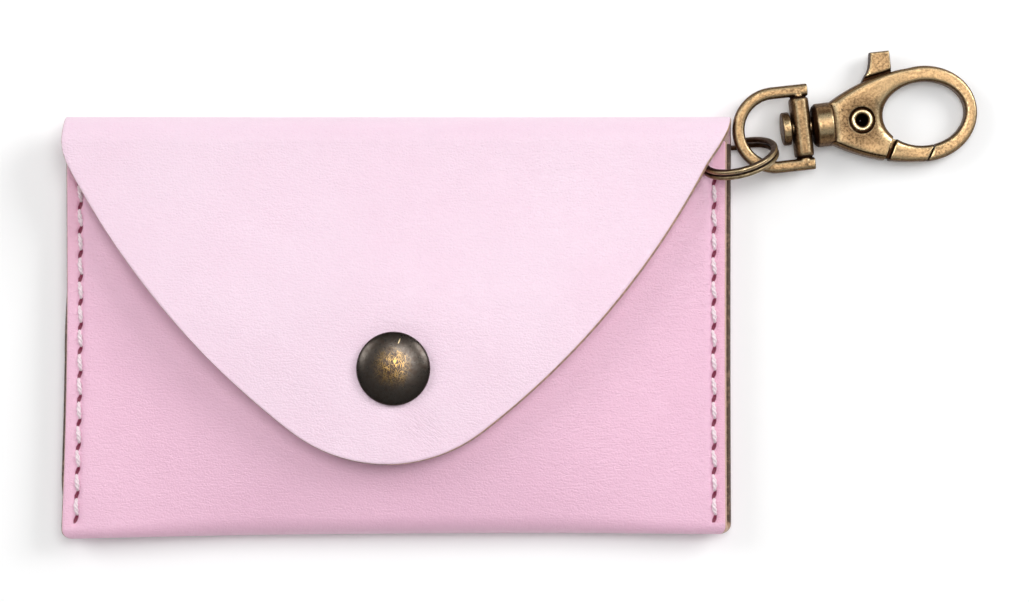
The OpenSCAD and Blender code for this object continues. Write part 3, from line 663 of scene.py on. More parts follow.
def flap_mesh(settings, material):
    """The top fold and the envelope flap in one continuous piece of leather."""
    edge_r = settings.edge_round / MM
    shares, reaches, painted = edge_profile(edge_r)
    u = spread([-1, -0.93, 0.93, 1], [8, 90, 8])
    columns = len(u)
    rows, masks = [], {"edge": [], "flesh": [], "pale": []}
    lean = CUT_LEAN * (np.concatenate([np.zeros(columns), shares, np.ones(columns), shares[::-1]]) - 0.5)

    def add(outer, right, inner, left, leaning, pale):
        row = np.concatenate([outer, right, inner[::-1], left[::-1]])
        row[:, 0] += lean * leaning
        row[:, 2] = np.maximum(row[:, 2], 0)
        rows.append(row)
        bare = np.zeros(columns)
        masks["edge"].append(np.concatenate([bare, FLAP_EDGE * painted, bare, painted]))
        masks["flesh"].append(flesh_side(columns))
        masks["pale"].append(np.full(len(row), pale))

    within = 1 - edge_r / HALF_W
    for a in np.linspace(-pi / 2, pi / 2, 44):
        sides = []
        for side in (1, -1):
            base = fold_point(np.full(EDGE_STEPS, side * within), a, LEATHER_T * shares)
            base[:, 0] += side * reaches
            sides.append(base)
        # The last value is the share of the flap's painted light, rising as the fold turns over onto the flap.
        add(fold_point(u * within, a, 0.0), sides[0], fold_point(u * within, a, LEATHER_T), sides[1],
            smooth(a / (pi / 2)), smooth((a + 0.9) / 1.2))
    slopes = spread([ROOT_A + radians(2.2), CORNER_A, FLANK_A, radians(80), radians(89.3), radians(89.9)],
                    [10, 96, 26, 10, 4])
    for a in slopes:
        reach, y = flap_edge(a)
        reach, y = reach - edge_r * cos(a), y + edge_r * sin(a)
        x = u * reach + flap_mid(y)
        z = flap_z(x, y)
        far = np.hypot(x - SNAP_X, y - SNAP_Y)
        press = CAP_PRESS * np.exp(-((far - CAP_R) / CAP_PRESS_W) ** 2)
        calm = smooth((FOLD_Y - y) / FLAP_RIPPLE_RUN)
        lift = hand_ripple(x + FLAP_RIPPLE_AT, y) * calm * smooth((far - CAP_R - CAP_CALM) / CAP_CALM_RUN)
        outer = points(x, y, z - press + lift)
        inner = points(x, y, z - LEATHER_T)
        sides = []
        for side in (1, -1):
            base = side * reach + flap_mid(y)
            edge_x, edge_y = base + side * reaches * cos(a), y - reaches * sin(a)
            sides.append(points(edge_x, edge_y, flap_z(base, y) - LEATHER_T * shares))
        add(outer, sides[0], inner, sides[1], 1.0, 1.0)
    return closed_shell("leather_flap", rows, columns, masks, material, cap_last=True)


# Metal forms, made in millimetres, those of the clasp in its own frame

def loop_solid(name, rows, closed=False):
    """A solid over loops of points, which run in a ring or end in flat caps."""
    n = len(rows[0])
    faces = loft_faces(len(rows), n, closed)
    if not closed:
        faces += [tuple(reversed(range(n))), tuple((len(rows) - 1) * n + k for k in range(n))]
    return face_outwards(plain_mesh(name, np.concatenate(rows) / MM, faces))


def prism(name, outline, half, bevel=0.0):
    """An outline in the clasp's plane made half thick to each side, with its edges cut back."""
    work = bmesh.new()
    base = work.faces.new([work.verts.new((x, y, -half)) for x, y in outline])
    made = bmesh.ops.extrude_face_region(work, geom=[base])["geom"]
    upper = [v for v in made if isinstance(v, bmesh.types.BMVert)]
    bmesh.ops.translate(work, vec=(0, 0, 2 * half), verts=upper)
    if bevel:
        bmesh.ops.bevel(work, geom=list(work.edges), offset=bevel, segments=3, profile=0.6, affect="EDGES",
                        clamp_overlap=True)
    bmesh.ops.recalc_face_normals(work, faces=work.faces)
    mesh = bpy.data.meshes.new(name)
    work.to_mesh(mesh)
    work.free()
    return linked(name, mesh)


def round_angles(steps, shift=0.0):
    return 2 * pi * (np.arange(steps) + shift) / steps


def lathe(name, profile, steps=96, frame_at=Matrix()):
    """A solid turned round the local Z axis from (radius, height) points, closed at both ends."""
    a = round_angles(steps)
    rows = [points(max(r, AXIS_R) * np.cos(a), max(r, AXIS_R) * np.sin(a), h) for r, h in profile]
    obj = loop_solid(name, rows)
    obj.data.transform(frame_at)
    return obj


def turned_ring(name, loop, steps):
    """A solid turned round the local Z axis from a closed loop of (radius, height) points."""
    r, h = np.array(loop).T
    rows = [points(r * cos(a), r * sin(a), h) for a in round_angles(steps)]
    return loop_solid(name, rows, closed=True)


def rounded(corners, r, steps=5):
    """A profile with its inner corners rounded by quadratic curves of reach r."""
    out = [corners[0]]
    for before, at, after in zip(corners, corners[1:], corners[2:]):
        b, c, d = np.array(before), np.array(at), np.array(after)
        one = min(r, np.linalg.norm(b - c) / 2)
        two = min(r, np.linalg.norm(d - c) / 2)
        p = c + (b - c) / np.linalg.norm(b - c) * one
        q = c + (d - c) / np.linalg.norm(d - c) * two
        for t in np.linspace(0, 1, steps):
            out.append(tuple((1 - t) ** 2 * p + 2 * t * (1 - t) * c + t * t * q))
    out.append(corners[-1])
    return out


def cut(obj, tool, operation="DIFFERENCE"):
    """Cuts a solid with another, which is used up."""
    modifier = obj.modifiers.new("cut", "BOOLEAN")
    modifier.operation, modifier.object, modifier.solver = operation, tool, "EXACT"
    finished(obj, [])
    drop(tool)
    return obj


def cast(name, solids, voxel, material, dirt_and_shade):
    """Solids run together as in one casting, with its edges softened, placed in metres."""
    verts, faces = [], []
    for solid in solids:
        start = len(verts)
        verts += [v.co[:] for v in solid.data.vertices]
        faces += [[start + k for k in p.vertices] for p in solid.data.polygons]
        drop(solid)
    mesh = bpy.data.meshes.new(name)
    mesh.from_pydata(verts, [], faces)
    obj = linked(name, mesh)
    remesh = obj.modifiers.new("run together", "REMESH")
    remesh.mode, remesh.voxel_size = "VOXEL", voxel
    soften = obj.modifiers.new("soften", "SMOOTH")
    soften.factor, soften.iterations = 0.5, CAST_PASSES
    finished(obj, [material])
    wear_grime_and_painted_light(obj.data, voxel, dirt_and_shade)
    obj.data.transform(Matrix.Scale(MM, 4) @ CLASP_FRAME)
    obj.data.shade_smooth()
    return obj


def wear_grime_and_painted_light(mesh, voxel, dirt_and_shade):
    """Stores where handling would polish the metal, plus a painted highlight band on up-facing edges, and where
    dirt would stay in the hollows, plus painted shade on the steep flanks.
    """
    count = len(mesh.vertices)
    at = np.empty(count * 3)
    mesh.vertices.foreach_get("co", at)
    at = at.reshape(-1, 3)
    edges = np.empty(len(mesh.edges) * 2, np.int64)
    mesh.edges.foreach_get("vertices", edges)
    a, b = edges.reshape(-1, 2).T
    links = np.bincount(np.concatenate([a, b]), minlength=count)[:, None]
    soft = at.copy()
    for _ in range(RUB_REACH):
        total = np.stack([np.bincount(a, soft[b, k], count) + np.bincount(b, soft[a, k], count)
                          for k in range(3)], axis=1)
        soft = total / np.maximum(links, 1)
    normals = np.empty(count * 3)
    mesh.vertices.foreach_get("normal", normals)
    normals = normals.reshape(-1, 3)
    proud = np.einsum("ij,ij->i", at - soft, normals) / voxel
    facing = np.abs(normals[:, 2])
    # Painted highlight: a bright band at one slope to the vertical, and all wear kept to up-facing surfaces; the
    # proud edges themselves are real wear.
    rim = RIM_HIGHLIGHT * np.exp(-((facing - HIGHLIGHT_FACING) / HIGHLIGHT_FACING_W) ** 2)
    wear = np.maximum(np.clip((proud - PROUD_FROM) / PROUD_RUN, 0, 1), rim)
    wear *= smooth((facing - HIGHLIGHT_TOP_FROM) / HIGHLIGHT_TOP_FADE)
    # Painted shade on the steep flanks; the hollows keep real patina.
    shaded_flank = FLANK_SHADE * smooth((FLANK_SHADE_FROM - facing) / FLANK_SHADE_FADE)
    grime = np.maximum(np.maximum(np.clip(-proud / HOLLOW_RUN, 0, 1), shaded_flank), dirt_and_shade(at))
    mark(mesh, "wear", wear)
    mark(mesh, "grime", np.clip(grime, 0, 1))


def squash(v, flatness):
    return np.sign(v) * np.abs(v) ** flatness


def body_half_t(x):
    return mix(BODY_HALF_T, RIM_HALF_T, smooth((x - 1) / 7))


def clasp_outline():
    """Outline of the clasp's body, round the eye's far end and back."""
    a = np.linspace(0, SHOULDER_A, 80)
    arc = np.stack([EYE_X + OUT_A * np.cos(a), OUT_B * np.sin(a)], 1)
    shoulder, neck = arc[-1], np.array([-COLLAR_BACK, NECK_W])
    pull = np.array([1.35, shoulder[1] - 0.3])
    t = np.linspace(0, 1, 46)[1:, None]
    side = (1 - t) ** 2 * shoulder + 2 * t * (1 - t) * pull + t * t * neck
    upper = np.concatenate([arc, side])
    end = np.stack([np.full(9, -COLLAR_BACK), np.linspace(NECK_W, -NECK_W, 11)[1:-1]], 1)
    return np.concatenate([upper, end, upper[:0:-1] * (1, -1)])


def clasp_rim(name):
    """The body's pillowed form: sections that run from the eye out to the outline."""
    a = round_angles(36, 0.5)
    share, height = (1 - squash(np.cos(a), PILLOW)) / 2, squash(np.sin(a), PILLOW)
    rows = []
    for x, y in clasp_outline():
        turn = np.arctan2(y, x - EYE_X)
        r = 1 / hypot(cos(turn) / EYE_A, sin(turn) / EYE_B)
        px = mix(EYE_X + r * cos(turn), x, share)
        py = mix(r * sin(turn), y, share)
        rows.append(points(px, py, body_half_t(px) * height))
    return loop_solid(name, rows, closed=True)


def window_outline(neck_gap, nose_gap):
    """The stretch of the rim that the gate fills."""
    along = np.array([cos(WINDOW_LINE_A), sin(WINDOW_LINE_A)])
    foot = WINDOW_FOOT + neck_gap * np.array([sin(WINDOW_LINE_A), -cos(WINDOW_LINE_A)])
    arc = [(GATE_REACH + GATE_GAP - nose_gap) * np.array([cos(a), sin(a)])
           for a in np.radians(np.linspace(-52, -18, 17))]
    return [foot + 2.4 * along, foot - 3.4 * along] + arc


def circle_outline(r, steps=64):
    a = round_angles(steps)
    return np.stack([r * np.cos(a), r * np.sin(a)], 1)


def sector_outline(r, start, stop, steps=24):
    a = np.radians(np.linspace(start, stop, steps))
    return [np.zeros(2)] + [r * np.array([cos(k), sin(k)]) for k in a]


ALONG_SWIVEL = Matrix.Rotation(-pi / 2, 4, "Y")


def clasp_dirt_and_shade(at):
    """Patina left round the rivet and in its recess, with painted shade at the collar's end and a painted shade
    line along the lower flank at the parting line.
    """
    out = np.hypot(at[:, 0], at[:, 1])
    stain = RIVET_STAIN * smooth((STAIN_R - out) / STAIN_FADE)
    rivet = np.maximum(stain, smooth((RECESS_R + 0.12 - out) / 0.1))
    outline = clasp_outline()
    shaded_flank = outline[(outline[:, 1] < 0) & (outline[:, 0] > -4.6) & (outline[:, 0] < 3.6)]
    far = np.full(len(at), 9.0)
    near = (at[:, 1] < -1.5) & (at[:, 0] < 4)
    far[near] = np.sqrt(((at[near, None, :2] - shaded_flank[None]) ** 2).sum(2).min(1))
    # Painted shade: a dark line along the lower flank where the parting line lies in shadow.
    parting_shade = np.exp(-((far - PARTING_SHADE_IN) / PARTING_SHADE_W) ** 2)
    # Painted shade in the gap between the collar's end and the crossbar.
    collar_end_shade = 0.95 * smooth((COLLAR_SHADE_X - at[:, 0]) / 0.25) * (at[:, 0] > -CROSS_NEAR)
    return np.maximum(np.maximum(rivet, collar_end_shade), parting_shade)


def clasp_mesh(material):
    """The clasp's casting: pillowed body with its eye, slot and rivet recess, collar, stem and head."""
    body = clasp_rim("body")
    cut(body, prism("window", window_outline(0, 0), 6))
    for outline in (circle_outline(HUB_R + 0.3),
                    [(0, 0), (2.9, 0.95), (5.75, 6.25), (5.75, THUMB_H + 4), (-5.7, THUMB_H + 2.8)],
                    [(0, 0), (-0.62, -3.1), (3, -5.7), (5.5, -5), (8, -1), (8, 1.2), (3.9, 1.2)],
                    sector_outline(4.3, 110, 255)):
        cut(body, prism("slot", outline, SLOT_HALF))
    cut(body, prism("bore", circle_outline(RIVET_R + 0.03), 6))
    for side in (1, -1):
        recess = prism("recess", circle_outline(RECESS_R), 1)
        recess.data.transform(Matrix.Translation((0, 0, side * (RIVET_HALF - FLARE_T + 1))))
        cut(body, recess)
    profile = [(0, COLLAR_BACK - 0.4), (COLLAR_R, COLLAR_BACK - 0.4), (COLLAR_R, COLLAR_CHAMFER),
               (COLLAR_END_R, COLLAR_END), (STEM_R, COLLAR_END), (STEM_R, HEAD_NEAR), (HEAD_R, HEAD_NEAR),
               (HEAD_R, HEAD_NEAR + HEAD_T), (0, HEAD_NEAR + HEAD_T)]
    collar = lathe("collar", rounded(profile, 0.3), 96, ALONG_SWIVEL)
    return cast("clasp_casting", [body, collar], CAST_VOXEL, material, clasp_dirt_and_shade)


def gate_mesh(material):
    """The gate with its hub, arm and thumb."""
    gate = clasp_rim("gate")
    cut(gate, prism("window", window_outline(NECK_GAP, NOSE_GAP), 6), "INTERSECT")
    bore_r, half = RIVET_R + 0.05, LEVER_T / 2
    hub = lathe("hub", rounded([(bore_r, -half), (HUB_R, -half), (HUB_R, half), (bore_r, half)], 0.15))
    arm = prism("arm", [(2.1, -1.9), (5.6, -3.8), (4.7, -6.3), (3.05, -6.1), (2.9, -5.65), (2.55, -4.75),
                        (-0.4, -2.8)], half)
    stem = [(-0.5, 2.4), (0.05, 3.9), (0.42, 4.95), (0.8, 5.75), (1.25, 6.4)]
    flare = [(1.7, 6.95), (2.02, 7.55), (2.25, 8.3), (2.4, 9.1), (2.5, THUMB_H), (5.4, THUMB_H), (5.4, 7.2)]
    thumb = prism("thumb", stem + flare + [(5.38, 6.5), (2.5, 1.3)], half)
    pad = prism("pad", [(1.2, 6.38)] + flare + [(4.1, 6.87), (2.5, 6.6)], THUMB_T / 2, 0.3)
    for plate in (arm, thumb, hub):
        cut(plate, prism("bore", circle_outline(bore_r), 6))

    def dirt_and_shade(at):
        # Painted shade: the thin arm and thumb plates inside the body's slot are made fully dark; the thumb's
        # face gets a little grime.
        thin = np.abs(at[:, 2]) < half + 0.15
        on_thumb = at[:, 1] > 4.5
        slot_shade = thin & (on_thumb | ((at[:, 0] < 3.9) & (at[:, 1] < 0)))
        return np.where(slot_shade, 1.0, PAD_GRIME * on_thumb)

    return cast("gate_lever_cast", [gate, hub, arm, thumb, pad], FINE_VOXEL, material, dirt_and_shade)


def bar_section(w, h, flatness, steps=28):
    a = round_angles(steps, 0.5)
    return w / 2 * squash(np.cos(a), flatness), h / 2 * squash(np.sin(a), flatness)


def swivel_loop_mesh(material):
    """The D-shaped loop and the crossbar that the stem turns in."""
    across, up = bar_section(LOOP_BAR_W + 0.06, LOOP_BAR_T, 0.6)
    path = [((-CROSS_NEAR, LOOP_MID_R), (0, 1)), ((LOOP_BEND_X, LOOP_MID_R), (0, 1))]
    path += [((LOOP_BEND_X + LOOP_MID_R * cos(a), LOOP_MID_R * sin(a)), (cos(a), sin(a)))
             for a in np.linspace(pi / 2, 3 * pi / 2, 60)[1:-1]]
    path += [((LOOP_BEND_X, -LOOP_MID_R), (0, -1)), ((-CROSS_NEAR, -LOOP_MID_R), (0, -1))]
    rows = [points(at[0] + out[0] * across, at[1] + out[1] * across, up) for at, out in path]
    loop = loop_solid("loop", rows)
    wide, tall = bar_section(CROSS_W, CROSS_T, 0.7)
    middle = -(CROSS_NEAR + CROSS_FAR) / 2
    inner = LOOP_MID_R - LOOP_BAR_W / 2
    half = [(0, 1), (inner - 0.75, 1), (inner - 0.40, 0.95), (inner - 0.28, 0.86), (inner - 0.26, 0.52),
            (LOOP_MID_R, 0.52)]
    swell = [(-y, s) for y, s in reversed(half[1:])] + half
    bar = loop_solid("bar", [points(middle + wide * s, y, tall * s) for y, s in swell])
    hole_r = STEM_R + 0.08
    hole = [(0, CROSS_NEAR - 2), (hole_r, CROSS_NEAR - 2), (hole_r, CROSS_FAR + 2), (0, CROSS_FAR + 2)]
    cut(bar, lathe("hole", hole, 48, ALONG_SWIVEL))

    def dirt_and_shade(at):
        off = np.abs(at[:, 1])
        near_bar = (at[:, 0] > -CROSS_FAR - 0.3) & (at[:, 0] < -CROSS_NEAR + 0.3)
        # Painted shade where the crossbar meets the arms; the rest of the loop and bar carry an even grime.
        neck = near_bar & (off > inner - 0.4) & (off < inner + 0.05)
        return np.where(neck, 1.0, np.where(near_bar & (off < inner - 0.3), BAR_GRIME, LOOP_GRIME))

    return cast("swivel_loop_cast", [loop, bar], FINE_VOXEL, material, dirt_and_shade)


def rivet_mesh(material):
    """The tubular rivet with its rolled lips."""
    half, lip = RIVET_HALF, 0.18
    side = [(0.1, 0), (RIVET_BORE_R, half - 1.1), (RIVET_BORE_R, half - lip), (RIVET_BORE_R + 0.28, half),
            (FLARE_R - 0.12, half), (FLARE_R, half - 0.1), (FLARE_R, half - FLARE_T),
            (RIVET_R, half - FLARE_T), (RIVET_R, 0)]
    obj = turned_ring("rivet_tube", side + [(r, -h) for r, h in reversed(side[1:-1])], 72)
    at = np.array([v.co for v in obj.data.vertices])
    out = np.hypot(at[:, 0], at[:, 1])
    # Painted shade down the bore and on the shank inside the body; the lips' tops are real wear.
    mark(obj.data, "grime", (out < RIVET_BORE_R + 0.01) | (np.abs(at[:, 2]) < half - FLARE_T + 0.05))
    mark(obj.data, "wear", np.abs(at[:, 2]) > half - 0.05)
    return dress(obj, material, CLASP_FRAME)


def ring_mesh(material):
    """The split ring: two turns of flat wire with a step from one to the other."""
    t = np.linspace(RING_CUT, 2 - RING_CUT, 300)
    a = round_angles(16)
    out = RING_WIRE_W / 2 * squash(np.cos(a), RING_FLATNESS)
    along = RING_WIRE_T / 2 * squash(np.sin(a), RING_FLATNESS)
    u, v = np.array(RING_U), np.array(RING_V)
    n = np.cross(u, v)
    stepped = smooth((t - RING_STEP_AT) / RING_STEP_RUN)
    rows = []
    for k, step in zip(t, stepped):
        turn = RING_CUT_A + 2 * pi * k
        way = cos(turn) * u + sin(turn) * v
        shift = RING_SHIFT * (step - 0.5)
        rows.append(np.array(RING_CENTRE) + np.outer(RING_R + out, way) + np.outer(shift + along, n))
    obj = loop_solid("ring_wire", rows)
    mark(obj.data, "wear", np.tile(np.clip(out / RING_WIRE_W * 2, 0, 1) ** 3 * 0.8, len(rows)))
    # The wire's inner side carries grime; painted shade darkens the flat faces where the two turns meet, and the
    # lower turn.
    inside = np.clip(-out / RING_WIRE_W * 2, 0, 1) ** 2 * 0.75
    flat = np.clip(np.abs(along) / RING_WIRE_T * 2 - 0.6, 0, 1) * 1.5 * (out < 0.3 * RING_WIRE_W)
    lower_turn_shade = 0.4 * stepped
    mark(obj.data, "grime", np.maximum(lower_turn_shade[:, None], np.maximum(inside, flat)[None]).ravel())
    return dress(obj, material)


def dress(obj, material, frame_at=Matrix()):
    """Moves a form made in millimetres to its place in metres and gives it its finish."""
    obj.data.transform(Matrix.Scale(MM, 4) @ frame_at)
    obj.data.materials.clear()
    obj.data.materials.append(material)
    return shade(obj, 40)


def at_snap(z):
    return Matrix.Translation((SNAP_X, SNAP_Y, z))


def cap_mesh(material):
    """The snap's domed cap, with its peg and peened end under the flap."""
    dome = [(CAP_R * cos(a), 0.55 + 1.25 * sin(a) ** 1.15) for a in np.linspace(0, pi / 2, 28)]
    rim = rounded([(1.5, 0.02), (CAP_R - 0.35, 0.02), (CAP_R, 0.2), (CAP_R, 0.55)], 0.25)
    peg = rounded([(0, -2.15), (2.1, -2.15), (2.1, -1.9), (1.5, -1.9), (1.5, 0.02)], 0.1)
    return dress(lathe("snap_dome", peg + rim[1:] + dome[1:], 144), material, at_snap(CAP_SEAT))


def socket_mesh(material):
    """The female half of the snap under the flap."""
    outer = rounded([(2.95, 0.05), (3.5, 0), (3.8, 0), (4.2, 0.4), (4.2, 2.05), (5, 2.15), (5, 2.55),
                     (1.55, 2.55)], 0.22)
    inner = [(1.55, 2.05), (2.95, 2.05), (2.95, 0.85), (3.0, 0.85), (3.0, 0.3), (2.95, 0.3)]
    return dress(turned_ring("snap_cup", outer + inner, 96), material, at_snap(SOCKET_Z))


def stud_mesh(material):
    """The male half of the snap on the front panel."""
    profile = rounded([(0, 0), (4.05, 0), (4.2, 0.15), (3.9, 0.5), (2.0, 0.5), (2.0, 1.45), (2.55, 1.95),
                       (2.38, 2.2), (1.95, 2.3), (1.2, 2.3), (1.1, 2.2), (0, 2.2)], 0.16)
    return dress(lathe("snap_button", profile, 96), material, at_snap(BELLY_H))


# Nodes, and the tree that makes the stitches

def node(tree, kind, values=None, **settings):
    """A node with its settings, and with values or links on its inputs."""
    made = tree.nodes.new(kind)
    for name, value in settings.items():
        setattr(made, name, value)
    for name, value in (values or {}).items():
        if isinstance(value, bpy.types.NodeSocket):
            tree.links.new(value, made.inputs[name])
        else:
            made.inputs[name].default_value = value
    return made


def maths(tree, operation, *values):
    """The output of a Math node of this operation on the values."""
    return node(tree, "ShaderNodeMath", dict(enumerate(values)), operation=operation).outputs[0]


def times(tree, one, two):
    return maths(tree, "MULTIPLY", one, two)


def plus(tree, one, two):
    return maths(tree, "ADD", one, two)


def new_tree(name, inputs):
    """An empty modifier tree with named inputs: (name, socket kind, default)."""
    tree = bpy.data.node_groups.new(name, "GeometryNodeTree")
    tree.is_modifier = True
    tree.interface.new_socket("Geometry", in_out="INPUT", socket_type="NodeSocketGeometry")
    tree.interface.new_socket("Geometry", in_out="OUTPUT", socket_type="NodeSocketGeometry")
    for label, kind, default in inputs:
        socket = tree.interface.new_socket(label, in_out="INPUT", socket_type=kind)
        if default is not None:
            socket.default_value = default
    return tree, node(tree, "NodeGroupInput"), node(tree, "NodeGroupOutput")


def run_tree(obj, tree, values, material):
    """Runs a tree on an object with its inputs set, and keeps the result as a plain mesh."""
    modifier = obj.modifiers.new(tree.name, "NODES")
    modifier.node_group = tree
    sockets = {s.name: s.identifier for s in tree.interface.items_tree if s.in_out == "INPUT"}
    for label, value in values.items():
        modifier[sockets[label]] = value
    return finished(obj, [material])


def stitch_tree():
    """Two-ply stitches on points: each ply winds round the stitch's line and dips in at its ends."""
    tree, given, result = new_tree("Seam stitches", [
        ("Length", "NodeSocketFloat", 0.003), ("Ply radius", "NodeSocketFloat", 0.0002),
        ("Rise", "NodeSocketFloat", 0.0002), ("Dip", "NodeSocketFloat", 0.0005),
        ("Twist", "NodeSocketFloat", 1.6), ("Seed", "NodeSocketInt", 3),
        ("Material", "NodeSocketMaterial", None)])
    value = given.outputs
    half = times(tree, value["Length"], 0.5)
    start = node(tree, "ShaderNodeCombineXYZ", {"Y": times(tree, half, -1.0)})
    stop = node(tree, "ShaderNodeCombineXYZ", {"Y": half})
    line = node(tree, "GeometryNodeCurvePrimitiveLine", {"Start": start.outputs[0], "End": stop.outputs[0]})
    fine = node(tree, "GeometryNodeResampleCurve", {"Curve": line.outputs[0], "Count": 22})
    share = node(tree, "GeometryNodeSplineParameter").outputs["Factor"]
    swell = maths(tree, "SINE", times(tree, share, pi))
    full = maths(tree, "POWER", swell, 0.6)
    lift = times(tree, full, plus(tree, value["Rise"], value["Dip"]))
    lift = maths(tree, "SUBTRACT", lift, value["Dip"])
    reach = times(tree, times(tree, value["Ply radius"], 0.85), full)
    wound_angle = times(tree, times(tree, share, 2 * pi), value["Twist"])
    girth = plus(tree, times(tree, full, 0.5), 0.5)
    section = node(tree, "GeometryNodeCurvePrimitiveCircle", {"Resolution": 8, "Radius": value["Ply radius"]})
    plies = node(tree, "GeometryNodeJoinGeometry")
    for phase in (0.0, pi):
        angle = plus(tree, wound_angle, phase)
        over = times(tree, maths(tree, "SINE", angle), times(tree, reach, 0.6))
        offset = node(tree, "ShaderNodeCombineXYZ", {
            "X": times(tree, maths(tree, "COSINE", angle), reach), "Z": plus(tree, over, lift)})
        wound = node(tree, "GeometryNodeSetPosition", {"Geometry": fine.outputs[0], "Offset": offset.outputs[0]})
        tapered = node(tree, "GeometryNodeSetCurveRadius", {"Curve": wound.outputs[0], "Radius": girth})
        tube = node(tree, "GeometryNodeCurveToMesh", {
            "Curve": tapered.outputs[0], "Profile Curve": section.outputs[0], "Fill Caps": True})
        tree.links.new(tube.outputs[0], plies.inputs[0])
    turn = node(tree, "GeometryNodeInputNamedAttribute", {"Name": "turn"}, data_type="FLOAT_VECTOR")
    aligned = node(tree, "FunctionNodeEulerToRotation", {"Euler": turn.outputs[0]})
    spin = node(tree, "FunctionNodeRandomValue", {
        "Min": (-0.05, -0.3, -0.09), "Max": (0.05, 0.3, 0.01), "Seed": value["Seed"]},
        data_type="FLOAT_VECTOR")
    turned = node(tree, "FunctionNodeRotateRotation", {
        "Rotation": aligned.outputs[0], "Rotate By": spin.outputs[0]}, rotation_space="LOCAL")
    placed = node(tree, "GeometryNodeInstanceOnPoints", {
        "Points": value["Geometry"], "Instance": plies.outputs[0], "Rotation": turned.outputs[0]})
    real = node(tree, "GeometryNodeRealizeInstances", {"Geometry": placed.outputs[0]})
    sleek = node(tree, "GeometryNodeSetShadeSmooth", {"Geometry": real.outputs[0]})
    dressed = node(tree, "GeometryNodeSetMaterial", {"Geometry": sleek.outputs[0], "Material": value["Material"]})
    tree.links.new(dressed.outputs[0], result.inputs[0])
    return tree


def stitch_points(name, side, face_z, out):
    """One point in the middle of each stitch, with the stitch's turn; those at the back face down."""
    ys = stitch_ys()
    middle = (ys[1:] + ys[:-1]) / 2
    obj = plain_mesh(name, points(stitch_x(side, middle), middle, face_z), [])
    drift = stitch_x(side, ys[1:]) - stitch_x(side, ys[:-1])
    lean = np.arctan(STITCH_SLANT * out - drift / STITCH_PITCH)
    turn = np.stack([np.full_like(lean, 0.0 if out > 0 else pi), np.zeros_like(lean), lean], axis=1)
    stored = obj.data.attributes.new("turn", "FLOAT_VECTOR", "POINT")
    stored.data.foreach_set("vector", turn.astype(np.float32).ravel())
    return obj


# Materials

def new_material(name):
    material = bpy.data.materials.new(name)
    material.use_nodes = True
    tree = material.node_tree
    tree.nodes.clear()
    shader = node(tree, "ShaderNodeBsdfPrincipled")
    output = node(tree, "ShaderNodeOutputMaterial")
    tree.links.new(shader.outputs[0], output.inputs["Surface"])
    return material, tree, shader


def new_group(name, inputs, outputs):
    """An empty shader group with named inputs and outputs: (name, socket kind, default)."""
    group = bpy.data.node_groups.new(name, "ShaderNodeTree")
    for label, kind, default in inputs:
        group.interface.new_socket(label, in_out="INPUT", socket_type=kind).default_value = default
    for label, kind in outputs:
        group.interface.new_socket(label, in_out="OUTPUT", socket_type=kind)
    return group, node(group, "NodeGroupInput").outputs, node(group, "NodeGroupOutput").inputs


def use_group(tree, group, values):
    return node(tree, "ShaderNodeGroup", values, node_tree=group).outputs


def place(tree):
    return node(tree, "ShaderNodeTexCoord").outputs["Object"]


def mask(tree, name):
    return node(tree, "ShaderNodeAttribute", attribute_name=name).outputs["Fac"]


def noise(tree, where, scale, detail=2.0, rough=0.5):
    return node(tree, "ShaderNodeTexNoise", {"Vector": where, "Scale": scale, "Detail": detail,
                                             "Roughness": rough}).outputs["Fac"]


def ramp(tree, value, low, high, to_low=0.0, to_high=1.0):
    return node(tree, "ShaderNodeMapRange", {"Value": value, "From Min": low, "From Max": high,
                                             "To Min": to_low, "To Max": to_high}).outputs[0]


def blend_colour(tree, share, one, two):
    """Two colours mixed; a share, or a colour, is a value or a link."""
    made = node(tree, "ShaderNodeMix", data_type="RGBA")
    for index, value in ((0, share), (6, one), (7, two)):
        if isinstance(value, bpy.types.NodeSocket):
            tree.links.new(value, made.inputs[index])
        else:
            made.inputs[index].default_value = value if index == 0 else (*value, 1.0)[:4]
    return made.outputs[2]


def framed(tree, where, at, turn, size):
    """The position in a frame of its own: centred, turned and measured in the frame's size."""
    return node(tree, "ShaderNodeMapping", {
        "Vector": where, "Location": at, "Rotation": (0, 0, turn), "Scale": size},
        vector_type="TEXTURE").outputs[0]


def length_of(tree, vector):
    return node(tree, "ShaderNodeVectorMath", {0: vector}, operation="LENGTH").outputs["Value"]


def bump(tree, shader, height, distance, strength):
    made = node(tree, "ShaderNodeBump", {"Height": height, "Distance": distance, "Strength": strength})
    tree.links.new(made.outputs[0], shader.inputs["Normal"])


